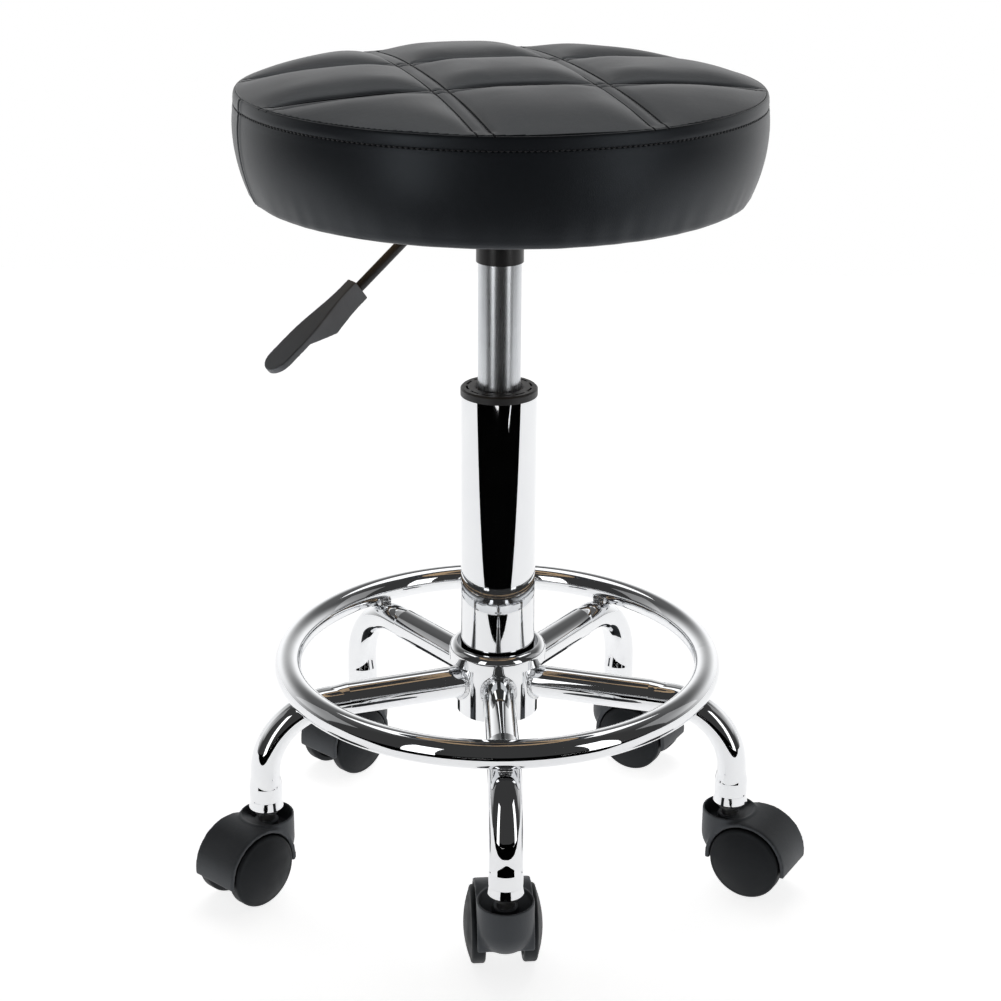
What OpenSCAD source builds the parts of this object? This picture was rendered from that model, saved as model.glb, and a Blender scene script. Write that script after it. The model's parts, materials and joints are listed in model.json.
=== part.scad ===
// Adjustable swivel stool: round padded seat on a gas lift, five-leg tube base
// with a foot ring and five hooded twin-wheel castors.
// Millimetres, +Z up. The origin is on the column axis, on the floor.

/* [Seat] */
// Radius of the seat at its widest
seat_r = 166.2; // [138:0.1:200]
// Height of the widest line of the seat side above the seat underside
seat_belly_h = 45; // [30:1:55]
// Height of the sewn top edge above the seat underside
seam_h = 66; // [58:1:80]
// Rise of the padded top above its sewn edge
crown_h = 13.5; // [8:0.5:25]
// How far the sewn top edge stands inside the widest line
seam_inset = 3.2; // [2:0.1:8]
// Thickness of the upholstery
cover_t = 1.2; // [0.8:0.1:2]
// Height of the seat underside above the floor
seat_z = 467; // [385:1:565]
// How far the plywood board stops inside the widest line of the seat
board_inset = 17.2; // [17:0.1:30]
// Thickness of the plywood seat board
board_t = 12; // [9:1:18]
// Side of the square steel mounting plate
plate_w = 150; // [125:1:180]
// Thickness of the steel mounting plate
plate_t = 3; // [2:0.5:4]
// Distance of each mounting screw from the plate's edges
screw_inset = 15; // [12:0.5:25]

/* [Gas lift] */
// Radius of the outer column tube
column_r = 25; // [20.5:0.1:30]
// Length of pressure tube that shows between the column and the seat underside
tube_show = 133.8; // [132:0.1:190]
// Wall of the column tube
column_wall = 1.5; // [1.2:0.1:2.5]
// Radius of the sliding pressure tube
tube_r = 14; // [12:0.1:15]
// Wall of the pressure tube
tube_wall = 1.5; // [1.2:0.1:2]
// Thickness of the guide bushing's flange
cap_t = 5.3; // [3:0.1:8]
// Length of the guide bushing inside the column
guide_len = 83; // [60:1:110]
// Radius of the fixed piston rod
rod_r = 5; // [4:0.1:6]
// Wall of the seat's lift socket
socket_wall = 1.3; // [1:0.1:3]
// Length of the lift socket below the mounting plate
socket_len = 43.5; // [35:0.5:50]

/* [Base] */
// Radius from the column axis to the castor stems
stem_reach = 165; // [137:1:200]
// Height of the leg tube's centre line above its lower end
leg_drop = 64; // [56:1:80]
// Outer diameter of the leg tube
leg_d = 22; // [18:0.1:26.5]
// How much thinner the leg tube is where it is bent flat
bend_flatten = 3; // [2:0.5:5]
// Radius of the bend's centre line
bend_r = 46; // [36:1:52]
// Gap between the top of the wheels and the leg's lower end
leg_end_gap = 16; // [16:1:30]
// Diameter of the foot ring tube
ring_d = 18.5; // [14:0.5:22]
// How far the foot ring's centre line stands inside the castor stems
ring_inset = 22.3; // [16:0.1:32]
// Wall of the hub barrel round the column
hub_wall = 2.8; // [2:0.1:6]
// Height of the hub barrel
hub_h = 38.5; // [34:0.5:60]
// Height of the hub's flange
flange_h = 11; // [8:0.5:16]
// Overhang of the hub's flange past its barrel
flange_out = 5.2; // [4:0.1:10]

/* [Castors] */
// Radius of a castor wheel
wheel_r = 25; // [20.5:0.1:30]
// Width of a castor over both wheels
castor_w = 52.6; // [43.5:0.1:64]
// Thickness of one wheel
wheel_w = 13.2; // [10:0.1:16]
// Distance from the stem axis back to the axle
trail = 20; // [16:0.5:24]
// Width of the hood
hood_w = 36.4; // [32:0.1:42]
// Radius of the castor axle
axle_r = 3; // [2:0.1:4]
// Radius of the castor stem in its socket
stem_r = 5.5; // [4:0.1:6]

/* [Lever] */
// Diameter of the lever rod
lever_d = 6.5; // [5:0.5:8]
// Slope of the lever's outer half below horizontal
lever_slope = 37.2; // [20:0.1:45]
// Distance from the column axis to the lever's pivot
pivot_x = 27; // [22:1:32]
// Distance from the column axis to the lever's bend
lever_bend_x = 50.1; // [42:0.1:60]
// Length of the sloping rod between the bend and the handle
lever_run = 69; // [50:1:90]
// Length of the handle
handle_len = 76; // [60:1:100]
// Width of the handle's paddle
handle_w = 21; // [16:0.5:26]
// Height of the handle's socket block
handle_h = 14; // [11:0.5:16]

/* [Clearances] */
// Radial clearance of pieces that are pressed or seated together
fit = 0.02; // [0.01:0.01:0.05]
// Radial clearance of pieces that turn or slide on each other
run = 0.05; // [0.03:0.01:0.1]

/* [Hidden] */
$fn = 96;
N_LEGS = 5;
LEG_TURN = 2.5;             // the whole base is turned a little from the front
CASTOR_TURN = [95, -30, -30, 229, 229];  // where each castor trails, from +X
LEVER_TURN = 215;           // direction in which the lever leaves the seat
eps = 0.01;

function leg_angle(i) = -90 + LEG_TURN + i * 360 / N_LEGS;

// Seat heights
seam_z = seat_z + seam_h;
belly_z = seat_z + seat_belly_h;
seam_r = seat_r - seam_inset;
soft_gap = 0.3;             // foam stays this far inside the upholstery
upper_arc = (pow(seam_z - belly_z, 2) + pow(seam_inset, 2)) / (2 * seam_inset);
lower_arc = 101;
plate_top = seat_z + cover_t + soft_gap;
plate_bottom = plate_top - plate_t;
board_r = seat_r - board_inset;
board_top = plate_top + board_t;
screw_pitch = plate_w - 2 * screw_inset;
fold_r = board_r - 22;      // the upholstery is folded under the board this far in

// Legs
leg_end_z = 2 * wheel_r + leg_end_gap;
leg_z = leg_end_z + leg_drop;
bend_t = leg_d - bend_flatten;
bend_x = stem_reach - bend_r;
bend_z = leg_z - bend_r;
top_blend = 12;
low_blend = 8;
leg_wall = 1.5;
bend_bore = bend_t / 2 - leg_wall;
flat_d = leg_d - 0.04;      // flattened width, just inside the round tube
// The ring rests on the outside of the five bends
ring_r = stem_reach - ring_inset;
ring_seat = bend_r + bend_t / 2 + ring_d / 2 + 0.04;
ring_z = bend_z + sqrt(pow(ring_seat, 2) - pow(ring_r - bend_x, 2));

// Hub
hub_r = column_r + hub_wall;
flange_r = hub_r + flange_out;
flange_z = leg_z + leg_d / 2 + 5;  // underside of the flange, clear of the weld beads
hub_bottom = flange_z - hub_h;
hub_top = flange_z + flange_h;

// Gas lift heights, at the height of the seat as drawn
lift_up = 60;               // travel of the seat above the height as drawn
column_top = seat_z - tube_show;
column_bottom = hub_bottom + 4.5;
column_floor = 3;
column_in = column_r - column_wall;
cap_top = column_top + cap_t;
socket_bottom = plate_bottom - socket_len;
lever_room = 15.5;          // from the tube's top end to the plate, where the lever works
tube_depth = 113.2;         // length of the pressure tube inside the column
tube_top = plate_bottom - lever_room;
tube_bottom = column_top - tube_depth;
tube_in = tube_r - tube_wall;
taper_len = 26;
taper_r = tube_r - 0.65;
tube_cap_t = 4;
gland_z = tube_bottom + 2;
gland_len = 18;
valve_len = 18;
rod_neck_r = rod_r - 1;
washer_t = 1.5;
ball_r = 1.98;
washer_low_z = column_bottom + column_floor;
ball_z = washer_low_z + washer_t;
washer_up_z = ball_z + 2 * (ball_r + fit);
shoulder_z = washer_up_z + washer_t;
buffer_h = 12;
piston_z = gland_z + gland_len + lift_up + 7;
piston_h = 12;
rod_top = piston_z + piston_h + 3;
valve_pin_r = 2.5;
valve_pin_out = 7.5;        // length of valve pin above the tube
valve_pin_top = tube_top + valve_pin_out;

// Lever heights
lever_r = lever_d / 2;
lever_play = 0.3;           // gap between the lever and the valve pin at rest
lever_z = valve_pin_top + lever_play + lever_r;
lever_bend_r = 12;
lever_tangent = lever_bend_r * tan(lever_slope / 2);
lever_grip = 28;            // length of rod inside the handle
bracket_wall = 2;
bracket_in = lever_r + 0.35;
bracket_len = 12;
pivot_r = 1.5;

// Castor heights
axle_z = wheel_r;
fender_r = wheel_r + 4;
pocket_r = wheel_r + 1;
cup_r = hood_w / 2 + 0.1;
cup_wall = 1.3;
rim_z = leg_end_z - 11.5;
cup_floor = rim_z - 13;
web_half = castor_w / 2 - wheel_w - 0.6;
wheel_cap = 3.5;            // thickness of the wheel's closed face over its axle
axle_gap = 0.2;
ferrule_h = 8;
ferrule_z = leg_end_z - ferrule_h;
stem_low_r = stem_r - 0.5;
stem_bottom = axle_z + axle_r + 4;
stem_top = leg_end_z + 18;
grip_z = leg_end_z + 9;
grip_h = 3;

CHROME = [0.80, 0.82, 0.84];
STEEL = [0.62, 0.64, 0.66];
BLACK = [0.09, 0.09, 0.10];
RUBBER = [0.14, 0.14, 0.15];
LEATHER = [0.16, 0.16, 0.18];

// ---------------------------------------------------------------- helpers

module tube(r_out, r_in, z0, z1) {
  translate([0, 0, z0]) difference() {
    cylinder(r = r_out, h = z1 - z0);
    translate([0, 0, -1]) cylinder(r = r_in, h = z1 - z0 + 2);
  }
}

module at_leg(i) {
  rotate([0, 0, leg_angle(i)]) children();
}

module at_each_leg() {
  for (i = [0 : N_LEGS - 1]) at_leg(i) children();
}

// Moves a castor drawn at the origin, trailing along +X, to leg i
module at_castor(i) {
  rotate([0, 0, leg_angle(i)]) translate([stem_reach, 0, 0])
    rotate([0, 0, CASTOR_TURN[i] - leg_angle(i)]) children();
}

module at_lever() {
  rotate([0, 0, LEVER_TURN]) children();
}

// ---------------------------------------------------------------- base

module hub_barrel(grow = 0) {
  translate([0, 0, hub_bottom - grow]) cylinder(r = hub_r + grow, h = hub_h + 2 * grow);
}

module hub() {
  lip = 5;
  color(CHROME) difference() {
    union() {
      hub_barrel();
      translate([0, 0, flange_z]) cylinder(r = flange_r, h = flange_h - lip);
      translate([0, 0, hub_top - lip]) rotate_extrude() {
        square([flange_r - lip, lip]);
        translate([flange_r - lip, 0]) intersection() {
          circle(r = lip);
          square([lip, lip]);
        }
      }
    }
    translate([0, 0, hub_bottom - 1]) cylinder(r = column_r + fit, h = hub_h + flange_h + 2);
    translate([0, 0, hub_top - 8]) cylinder(r = column_r + 2.6, h = 9);
  }
}

// Outline of the leg tube, flattened to t across and centred on the origin
module flat_section(d, t) {
  offset_x = (d - t) / 2;
  translate([0, offset_x]) circle(d = t);
  translate([0, -offset_x]) circle(d = t);
  square([t, 2 * offset_x], center = true);
}

// Quarter bend of the leg, in the plane of the leg
module leg_sweep() {
  translate([bend_x, 0, bend_z]) rotate([90, 0, 0]) rotate_extrude(angle = 90)
    translate([bend_r, 0]) children();
}

module bend_solid(grow = 0) {
  leg_sweep() flat_section(flat_d + 2 * grow, bend_t + 2 * grow);
}

// The tube is round at the hub and at the castor, and flattened through the bend.
// A cone inside a short flattened length makes each change of section.
module leg_outside() {
  straight = bend_x - top_blend;
  lap = 2;
  low_z = bend_z - low_blend;
  translate([0, 0, leg_z]) rotate([0, 90, 0]) {
    cylinder(d = leg_d, h = straight);
    translate([0, 0, straight]) cylinder(d1 = leg_d, d2 = bend_t - 0.04, h = top_blend);
    translate([0, 0, straight - lap]) linear_extrude(top_blend + lap) flat_section(flat_d, bend_t);
  }
  bend_solid();
  translate([stem_reach, 0, 0]) {
    translate([0, 0, low_z - lap]) linear_extrude(low_blend + lap) flat_section(flat_d, bend_t);
    translate([0, 0, low_z]) cylinder(d1 = leg_d, d2 = bend_t - 0.04, h = low_blend);
    translate([0, 0, leg_end_z]) cylinder(d = leg_d, h = low_z - leg_end_z);
  }
}

module leg_inside() {
  translate([0, 0, leg_z]) rotate([0, 90, 0]) cylinder(r = bend_bore, h = bend_x);
  leg_sweep() circle(r = bend_bore);
  translate([stem_reach, 0, leg_end_z - 1]) cylinder(r = bend_bore, h = bend_z - leg_end_z + 1);
}

module leg_body() {
  difference() {
    leg_outside();
    leg_inside();
    // saddle cut that meets the hub barrel
    hub_barrel(fit);
  }
}

module leg(i) {
  color(CHROME) at_leg(i) leg_body();
}

// Low weld bead round the foot of each leg, where it meets the hub barrel
module hub_welds() {
  bead = 1.7;
  reach = hub_r + bead;
  color(CHROME) at_each_leg() difference() {
    intersection() {
      translate([hub_r / 2, 0, leg_z]) rotate([0, 90, 0]) cylinder(r = leg_d / 2 + bead, h = hub_r);
      translate([0, 0, hub_bottom]) cylinder(r = reach, h = hub_h);
    }
    translate([0, 0, leg_z]) rotate([0, 90, 0]) cylinder(r = leg_d / 2 + fit, h = stem_reach / 2);
    hub_barrel(2 * fit);
  }
}

module ring_torus(grow = 0) {
  translate([0, 0, ring_z]) rotate_extrude($fn = 180) translate([ring_r, 0]) circle(r = ring_d / 2 + grow);
}

module foot_ring() {
  wall = 1.5;
  color(CHROME) difference() {
    ring_torus();
    ring_torus(-wall);
  }
}

// Short fillet welds in the crevices between the ring and each leg bend
module ring_welds() {
  lean = asin((ring_r - bend_x) / ring_seat);
  touch = bend_r + bend_t / 2;
  bead_r = 2.6;
  bead_len = 9;
  color(CHROME) difference() {
    at_each_leg() for (side = [-1, 1])
      translate([bend_x, 0, bend_z]) rotate([0, lean, 0]) translate([side * 5.2, 0, touch + 1.4])
        rotate([90, 0, 0]) cylinder(r = bead_r, h = bead_len, center = true);
    ring_torus(fit);
    at_each_leg() bend_solid(fit);
  }
}

// Ferrule at the end of each leg that takes the castor stem
module leg_sockets() {
  plug_r = bend_bore - fit;
  color(CHROME) at_each_leg() translate([stem_reach, 0, 0]) difference() {
    union() {
      translate([0, 0, ferrule_z + 2]) cylinder(r1 = leg_d / 2 + 0.5, r2 = leg_d / 2 - 0.4, h = ferrule_h - 2.4);
      translate([0, 0, leg_end_z - 0.4]) cylinder(r = leg_d / 2 - 1.2, h = 0.4);
      translate([0, 0, ferrule_z]) cylinder(r1 = leg_d / 2 - 1.5, r2 = leg_d / 2 + 0.5, h = 2);
      translate([0, 0, leg_end_z - eps]) cylinder(r = plug_r, h = stem_top - leg_end_z - 6);
    }
    translate([0, 0, ferrule_z - 1]) cylinder(r = stem_r + fit, h = stem_top - ferrule_z + 2);
    translate([0, 0, grip_z - 0.2]) cylinder(r = stem_r + 0.6, h = grip_h + 0.4);
  }
}

module castor_stems() {
  groove_r = stem_r - 0.8;
  flange = 2.4;
  color(STEEL) at_each_leg() translate([stem_reach, 0, 0]) difference() {
    union() {
      translate([0, 0, stem_bottom]) cylinder(r = stem_low_r, h = ferrule_z - stem_bottom);
      translate([0, 0, ferrule_z - flange - eps]) cylinder(r = stem_r + 2.5, h = flange);
      translate([0, 0, ferrule_z - flange]) cylinder(r = stem_r, h = stem_top - ferrule_z + flange - 1);
      translate([0, 0, stem_top - 1]) cylinder(r1 = stem_r, r2 = stem_r - 1, h = 1);
    }
    tube(stem_r + 1, groove_r, grip_z, grip_z + grip_h);
  }
}

module stem_grip_rings() {
  color(STEEL) at_each_leg() translate([stem_reach, 0, 0]) difference() {
    tube(stem_r + 0.5, stem_r - 0.7, grip_z + 0.1, grip_z + grip_h - 0.1);
    translate([stem_r - 1.5, -0.8, grip_z - 1]) cube([3, 1.6, grip_h + 2]);
  }
}

module column_tube() {
  color(CHROME) difference() {
    translate([0, 0, column_bottom]) cylinder(r = column_r, h = column_top - column_bottom);
    translate([0, 0, column_bottom + column_floor]) cylinder(r = column_in, h = column_top);
    translate([0, 0, column_bottom - 1]) cylinder(r = rod_neck_r + 0.3, h = column_floor + 2);
  }
}

module guide_bushing() {
  n_slots = 12;
  slot_r = column_r - 4.6;
  slot_w = 1.4;
  slot_turn = 21;
  wiper_r = tube_r + 2.3;
  color(BLACK) difference() {
    union() {
      translate([0, 0, column_top - guide_len]) cylinder(r = column_in - fit, h = guide_len);
      translate([0, 0, column_top]) cylinder(r = column_r + 0.3, h = cap_t - 1);
      translate([0, 0, cap_top - 1]) cylinder(r1 = column_r + 0.3, r2 = column_r - 0.7, h = 1);
    }
    translate([0, 0, column_top - guide_len - 1]) cylinder(r = tube_r + run, h = guide_len + cap_t + 2);
    translate([0, 0, cap_top - 1.6]) cylinder(r1 = tube_r + 1, r2 = wiper_r, h = 1.7);
    for (k = [0 : n_slots - 1]) rotate([0, 0, k * 360 / n_slots])
      translate([0, 0, cap_top - 1.6]) rotate_extrude(angle = slot_turn)
        translate([slot_r, 0]) square([slot_w, 2]);
  }
}

module bearing_washer_lower() {
  color(STEEL) tube(12, rod_neck_r + run, washer_low_z, washer_low_z + washer_t);
}

module bearing_balls() {
  n_balls = 10;
  color(STEEL) for (k = [0 : n_balls - 1]) rotate([0, 0, k * 360 / n_balls])
    translate([8.6, 0, ball_z + ball_r + fit]) sphere(r = ball_r, $fn = 32);
}

// ---------------------------------------------------------------- lift

module bearing_washer_upper() {
  color(STEEL) tube(12, rod_neck_r + fit, washer_up_z, washer_up_z + washer_t);
}

module retaining_clip() {
  z1 = column_bottom - 0.3;
  color(STEEL) difference() {
    tube(7.5, rod_neck_r - 0.6, z1 - 1.2, z1);
    translate([0, -2.4, z1 - 2]) cube([10, 4.8, 3]);
  }
}

module rubber_buffer() {
  color(RUBBER) tube(12, rod_r + fit, shoulder_z, shoulder_z + buffer_h);
}

module piston_rod() {
  z0 = hub_bottom + 0.8;
  clip_z = column_bottom - 1.5;
  color(STEEL) difference() {
    union() {
      translate([0, 0, z0]) cylinder(r = rod_neck_r, h = shoulder_z - z0 + eps);
      translate([0, 0, shoulder_z]) cylinder(r = rod_r, h = rod_top - shoulder_z);
    }
    tube(rod_r + 1, rod_neck_r - 0.62, clip_z - 0.02, clip_z + 1.22);
  }
}

module piston_head() {
  color(RUBBER) difference() {
    translate([0, 0, piston_z]) cylinder(r = tube_in - run, h = piston_h);
    translate([0, 0, piston_z - 1]) cylinder(r = rod_r + fit, h = piston_h + 2);
    tube(tube_in + 1, tube_in - 1, piston_z + 5, piston_z + 7);
  }
}

// ---------------------------------------------------------------- seat unit

module tube_outside(grow = 0) {
  translate([0, 0, tube_bottom]) cylinder(r = tube_r + grow, h = tube_top - taper_len - tube_bottom);
  translate([0, 0, tube_top - taper_len - eps])
    cylinder(r1 = tube_r + grow, r2 = taper_r + grow, h = taper_len + eps);
}

module pressure_tube() {
  color(STEEL) difference() {
    tube_outside();
    translate([0, 0, tube_bottom - 1]) cylinder(r = tube_in, h = tube_top - taper_len - tube_bottom + 1);
    translate([0, 0, tube_top - taper_len - eps])
      cylinder(r1 = tube_in, r2 = tube_in - 0.5, h = taper_len - tube_cap_t + eps);
    translate([0, 0, tube_top - tube_cap_t - 1]) cylinder(r = valve_pin_r + run, h = tube_cap_t + 2);
  }
}

module tube_gland() {
  color(RUBBER) tube(tube_in - fit, rod_r + run, gland_z, gland_z + gland_len);
}

module valve_housing() {
  z1 = tube_top - tube_cap_t - 0.1;
  pin_room = 3;
  color(STEEL) difference() {
    translate([0, 0, z1 - valve_len]) cylinder(r = tube_in - 0.55, h = valve_len);
    translate([0, 0, z1 - valve_len + pin_room]) cylinder(r = valve_pin_r + run, h = valve_len);
  }
}

module valve_pin() {
  z0 = tube_top - tube_cap_t - valve_len + 7;
  color(STEEL) {
    translate([0, 0, z0]) cylinder(r = valve_pin_r, h = valve_pin_top - z0 - 0.6);
    translate([0, 0, valve_pin_top - 0.6]) cylinder(r1 = valve_pin_r, r2 = valve_pin_r - 0.6, h = 0.6);
  }
}

// Stepped bore of the socket is the tube's own taper plus the seated clearance
module lift_socket() {
  slot_w = lever_d + 1;
  color(BLACK) difference() {
    translate([0, 0, socket_bottom]) cylinder(r = tube_r + socket_wall, h = socket_len);
    tube_outside(fit);
    translate([0, 0, tube_top - 1]) cylinder(r = taper_r + fit, h = 30);
    at_lever() translate([0, -slot_w / 2, lever_z - lever_r - 2.2])
      cube([tube_r + socket_wall + 2, slot_w, 20]);
  }
}

module screw_places() {
  at_lever() for (sx = [-1, 1], sy = [-1, 1])
    translate([sx * screw_pitch / 2, sy * screw_pitch / 2, 0]) children();
}

module seat_plate() {
  corner = 12;
  half = plate_w / 2 - corner;
  slot_w = lever_d + 1.5;
  slot_x = pivot_x + bracket_len / 2 + 0.5;
  color(BLACK) difference() {
    at_lever() translate([0, 0, plate_bottom]) union() {
      translate([-plate_w / 2, -half, 0]) cube([plate_w, 2 * half, plate_t]);
      translate([-half, -plate_w / 2, 0]) cube([2 * half, plate_w, plate_t]);
      for (sx = [-1, 1], sy = [-1, 1]) translate([sx * half, sy * half, 0]) cylinder(r = corner, h = plate_t);
    }
    screw_places() translate([0, 0, plate_bottom - 1]) cylinder(r = 3.3, h = plate_t + 2);
    // slot into which the lever rises when it is lifted
    at_lever() translate([slot_x, -slot_w / 2, plate_bottom - 1])
      cube([lever_bend_x + lever_tangent + 3 - slot_x, slot_w, plate_t + 2]);
  }
}

module plate_screws() {
  head_h = 3.6;
  color(STEEL) screw_places() difference() {
    union() {
      translate([0, 0, plate_bottom - head_h]) cylinder(r1 = 4.6, r2 = 5.8, h = head_h);
      translate([0, 0, plate_bottom - eps]) cylinder(r = 3, h = plate_t + board_t);
    }
    translate([0, 0, plate_bottom - head_h - 1]) cylinder(r = 2.3, h = 3, $fn = 6);
  }
}

module t_nuts() {
  flange_t = 1.5;
  color(STEEL) screw_places() difference() {
    union() {
      translate([0, 0, board_top - flange_t]) cylinder(r = 9.5, h = flange_t);
      translate([0, 0, board_top - 9]) cylinder(r = 4, h = 8);
    }
    translate([0, 0, board_top - 10]) cylinder(r = 3 + fit, h = 12);
  }
}

module seat_board() {
  color("burlywood") difference() {
    translate([0, 0, plate_top]) cylinder(r = board_r, h = board_t);
    screw_places() {
      translate([0, 0, plate_top - 1]) cylinder(r = 4 + fit, h = board_t + 2);
      translate([0, 0, board_top - 1.5 - fit]) cylinder(r = 9.5 + fit, h = 3);
    }
  }
}

module lever_bracket() {
  x0 = pivot_x - bracket_len / 2;
  drop = lever_r + 2.2;
  z0 = lever_z - drop - bracket_wall;
  color(BLACK) at_lever() difference() {
    translate([x0, -bracket_in - bracket_wall, z0])
      cube([bracket_len, 2 * (bracket_in + bracket_wall), plate_bottom - z0]);
    translate([x0 - 1, -bracket_in, lever_z - drop]) cube([bracket_len + 2, 2 * bracket_in, 40]);
    translate([pivot_x, 0, lever_z]) rotate([90, 0, 0]) cylinder(r = pivot_r + fit, h = 40, center = true);
  }
}

module pivot_pin() {
  half = bracket_in + bracket_wall + 1;
  color(STEEL) at_lever() translate([pivot_x, 0, lever_z]) rotate([90, 0, 0]) {
    cylinder(r = pivot_r, h = 2 * half, center = true);
    translate([0, 0, half - 1 + fit]) cylinder(r = pivot_r + 1.2, h = 1.2);
  }
}

module lever_rod() {
  inner_end = -3;
  lap = 0.5;                // the bend is a hair thicker and takes in both straight ends
  color(BLACK) at_lever() difference() {
    union() {
      translate([inner_end, 0, lever_z]) rotate([0, 90, 0])
        cylinder(d = lever_d, h = lever_bend_x - lever_tangent - inner_end + lap);
      translate([lever_bend_x - lever_tangent, 0, lever_z - lever_bend_r]) rotate([90, 0, 0])
        rotate([0, 0, 90 - lever_slope]) rotate_extrude(angle = lever_slope)
          translate([lever_bend_r, 0]) circle(d = lever_d + 0.06);
      lever_frame(lever_tangent - lever_run - lap) rotate([0, 90, 0])
        cylinder(d = lever_d, h = lever_run + lever_grip - lever_tangent + lap);
    }
    translate([pivot_x, 0, lever_z]) rotate([90, 0, 0]) cylinder(r = pivot_r + run, h = 40, center = true);
  }
}

// Frame on the sloping rod: +X runs down along it, starting at the handle plus shift
module lever_frame(shift = 0) {
  translate([lever_bend_x, 0, lever_z]) rotate([0, lever_slope, 0])
    translate([lever_run + shift, 0, 0]) children();
}

// Half width of the paddle at distance s from its rod end
function paddle_half(s) =
  let (t = min(1, max(0, (s - 6) / 44)), low = 4.6)
  low + (handle_w / 2 - low) * t * t * (3 - 2 * t);

module paddle_plan() {
  tip_x = handle_len - handle_w / 2;
  steps = 14;
  tip_turns = 12;
  up = [for (k = [0 : steps]) [k * tip_x / steps, paddle_half(k * tip_x / steps)]];
  tip = [for (k = [1 : tip_turns - 1]) let (a = 90 - 180 * k / tip_turns)
    [tip_x + handle_w / 2 * cos(a), handle_w / 2 * sin(a)]];
  down = [for (k = [steps : -1 : 0]) [k * tip_x / steps, -paddle_half(k * tip_x / steps)]];
  polygon(concat(up, tip, down));
}

module lever_handle() {
  blade_t = 4.2;
  block_len = 30;
  ramp_end = 48;
  top = handle_h / 2;
  color(BLACK) at_lever() lever_frame() difference() {
    intersection() {
      translate([0, 0, -handle_h]) linear_extrude(2 * handle_h) paddle_plan();
      rotate([90, 0, 0]) linear_extrude(2 * handle_w, center = true)
        polygon([[0, -top], [block_len, -top], [ramp_end, top - blade_t],
                 [handle_len + 1, top - blade_t], [handle_len + 1, top], [0, top]]);
    }
    rotate([0, 90, 0]) translate([0, 0, -1]) cylinder(d = lever_d + 2 * fit, h = lever_grip + 1.1);
  }
}

// Outer radius of the seat's side wall at height z
function side_r(z) =
  let (arc = z > belly_z ? upper_arc : lower_arc, d = z - belly_z)
  seat_r - (arc - sqrt(arc * arc - d * d));

// Height of the padded top at radius r
function crown_z(r) = seam_z + crown_h * (1 - pow(r / seam_r, 2.5));

// Outline of the seat, inset by t, from the axis out and down to the underside
function seat_outline(t, steps = 10, low = 5) =
  concat(
    [for (k = [0 : steps]) let (r = (seam_r - t) * k / steps) [r, crown_z(r) - t]],
    [for (k = [1 : steps]) let (z = seam_z - (seam_z - seat_z - low) * k / steps) [side_r(z) - t, z]],
    [[side_r(seat_z + low) - t - (low - t) * 0.3, seat_z + t + (low - t) * 0.3],
     [side_r(seat_z + low) - low, seat_z + t]]);

module foam_pad() {
  gap = cover_t + soft_gap;
  color("lightgoldenrodyellow") rotate_extrude() polygon(concat(
    [[0, board_top + 0.1]],
    seat_outline(gap),
    [[board_r + soft_gap, seat_z + gap], [board_r + soft_gap, board_top + 0.1]]));
}

module cover_top() {
  steps = 10;
  inner_r = seam_r - cover_t;
  color(LEATHER) rotate_extrude() polygon(concat(
    [for (k = [0 : steps]) let (r = seam_r * k / steps) [r, crown_z(r)]],
    [[seam_r, seam_z - cover_t]],
    [for (k = [steps : -1 : 0]) let (r = inner_r * k / steps) [r, crown_z(r) - cover_t]]));
}

module cover_band() {
  steps = 10;
  low = 5;
  top_z = seam_z - cover_t - fit;
  span = top_z - seat_z - low;
  foot_r = side_r(seat_z + low);
  color(LEATHER) rotate_extrude() polygon(concat(
    [for (k = [0 : steps]) let (z = top_z - span * k / steps) [side_r(z), z]],
    [[foot_r - low * 0.3, seat_z + low * 0.3], [foot_r - low, seat_z], [fold_r, seat_z],
     [fold_r, seat_z + cover_t], [foot_r - low, seat_z + cover_t],
     [foot_r - cover_t - (low - cover_t) * 0.3, seat_z + cover_t + (low - cover_t) * 0.3]],
    [for (k = [steps : -1 : 0]) let (z = top_z - span * k / steps) [side_r(z) - cover_t, z]]));
}

module cover_staples() {
  n_staples = 30;
  wire = 0.6;
  color(STEEL) for (k = [0 : n_staples - 1]) rotate([0, 0, k * 360 / n_staples + 3])
    translate([fold_r + 6, -5, seat_z - wire]) cube([1.2, 10, wire]);
}

// ---------------------------------------------------------------- castors

module hood_shape() {
  bullet_z = axle_z + 11;      // where the cup's wall turns into its round bottom
  rear_z = axle_z - 3.5;
  difference() {
    union() {
      translate([0, 0, bullet_z]) cylinder(r = cup_r, h = rim_z - bullet_z);
      translate([0, 0, bullet_z]) sphere(r = cup_r);
      difference() {
        translate([trail, 0, axle_z]) rotate([90, 0, 0]) cylinder(r = fender_r, h = hood_w, center = true);
        translate([trail - 2 * fender_r, -hood_w, -fender_r])
          cube([4 * fender_r, 2 * hood_w, fender_r + rear_z]);
      }
    }
    // open underside behind the stem
    translate([4, -hood_w, -fender_r]) cube([2 * fender_r, 2 * hood_w, fender_r + rear_z]);
    // wheel pockets
    for (side = [-1, 1]) translate([trail, side * (web_half + hood_w / 2), axle_z])
      rotate([90, 0, 0]) cylinder(r = pocket_r, h = hood_w, center = true);
    // cup round the stem
    tube(cup_r - cup_wall, stem_low_r + 3, cup_floor, rim_z + 20);
    translate([0, 0, rim_z - 4]) cylinder(r = cup_r - cup_wall, h = 30);
    // bores for the stem and the axle
    translate([0, 0, stem_bottom - 1]) cylinder(r = stem_low_r + run, h = 60);
    translate([trail, 0, axle_z]) rotate([90, 0, 0]) cylinder(r = axle_r + fit, h = 60, center = true);
  }
}

module hood(i) {
  color(BLACK) at_castor(i) hood_shape();
}

module axle(i) {
  half = castor_w / 2 - wheel_cap - axle_gap;
  color(STEEL) at_castor(i) translate([trail, 0, axle_z]) rotate([90, 0, 0])
    cylinder(r = axle_r, h = 2 * half, center = true);
}

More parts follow.
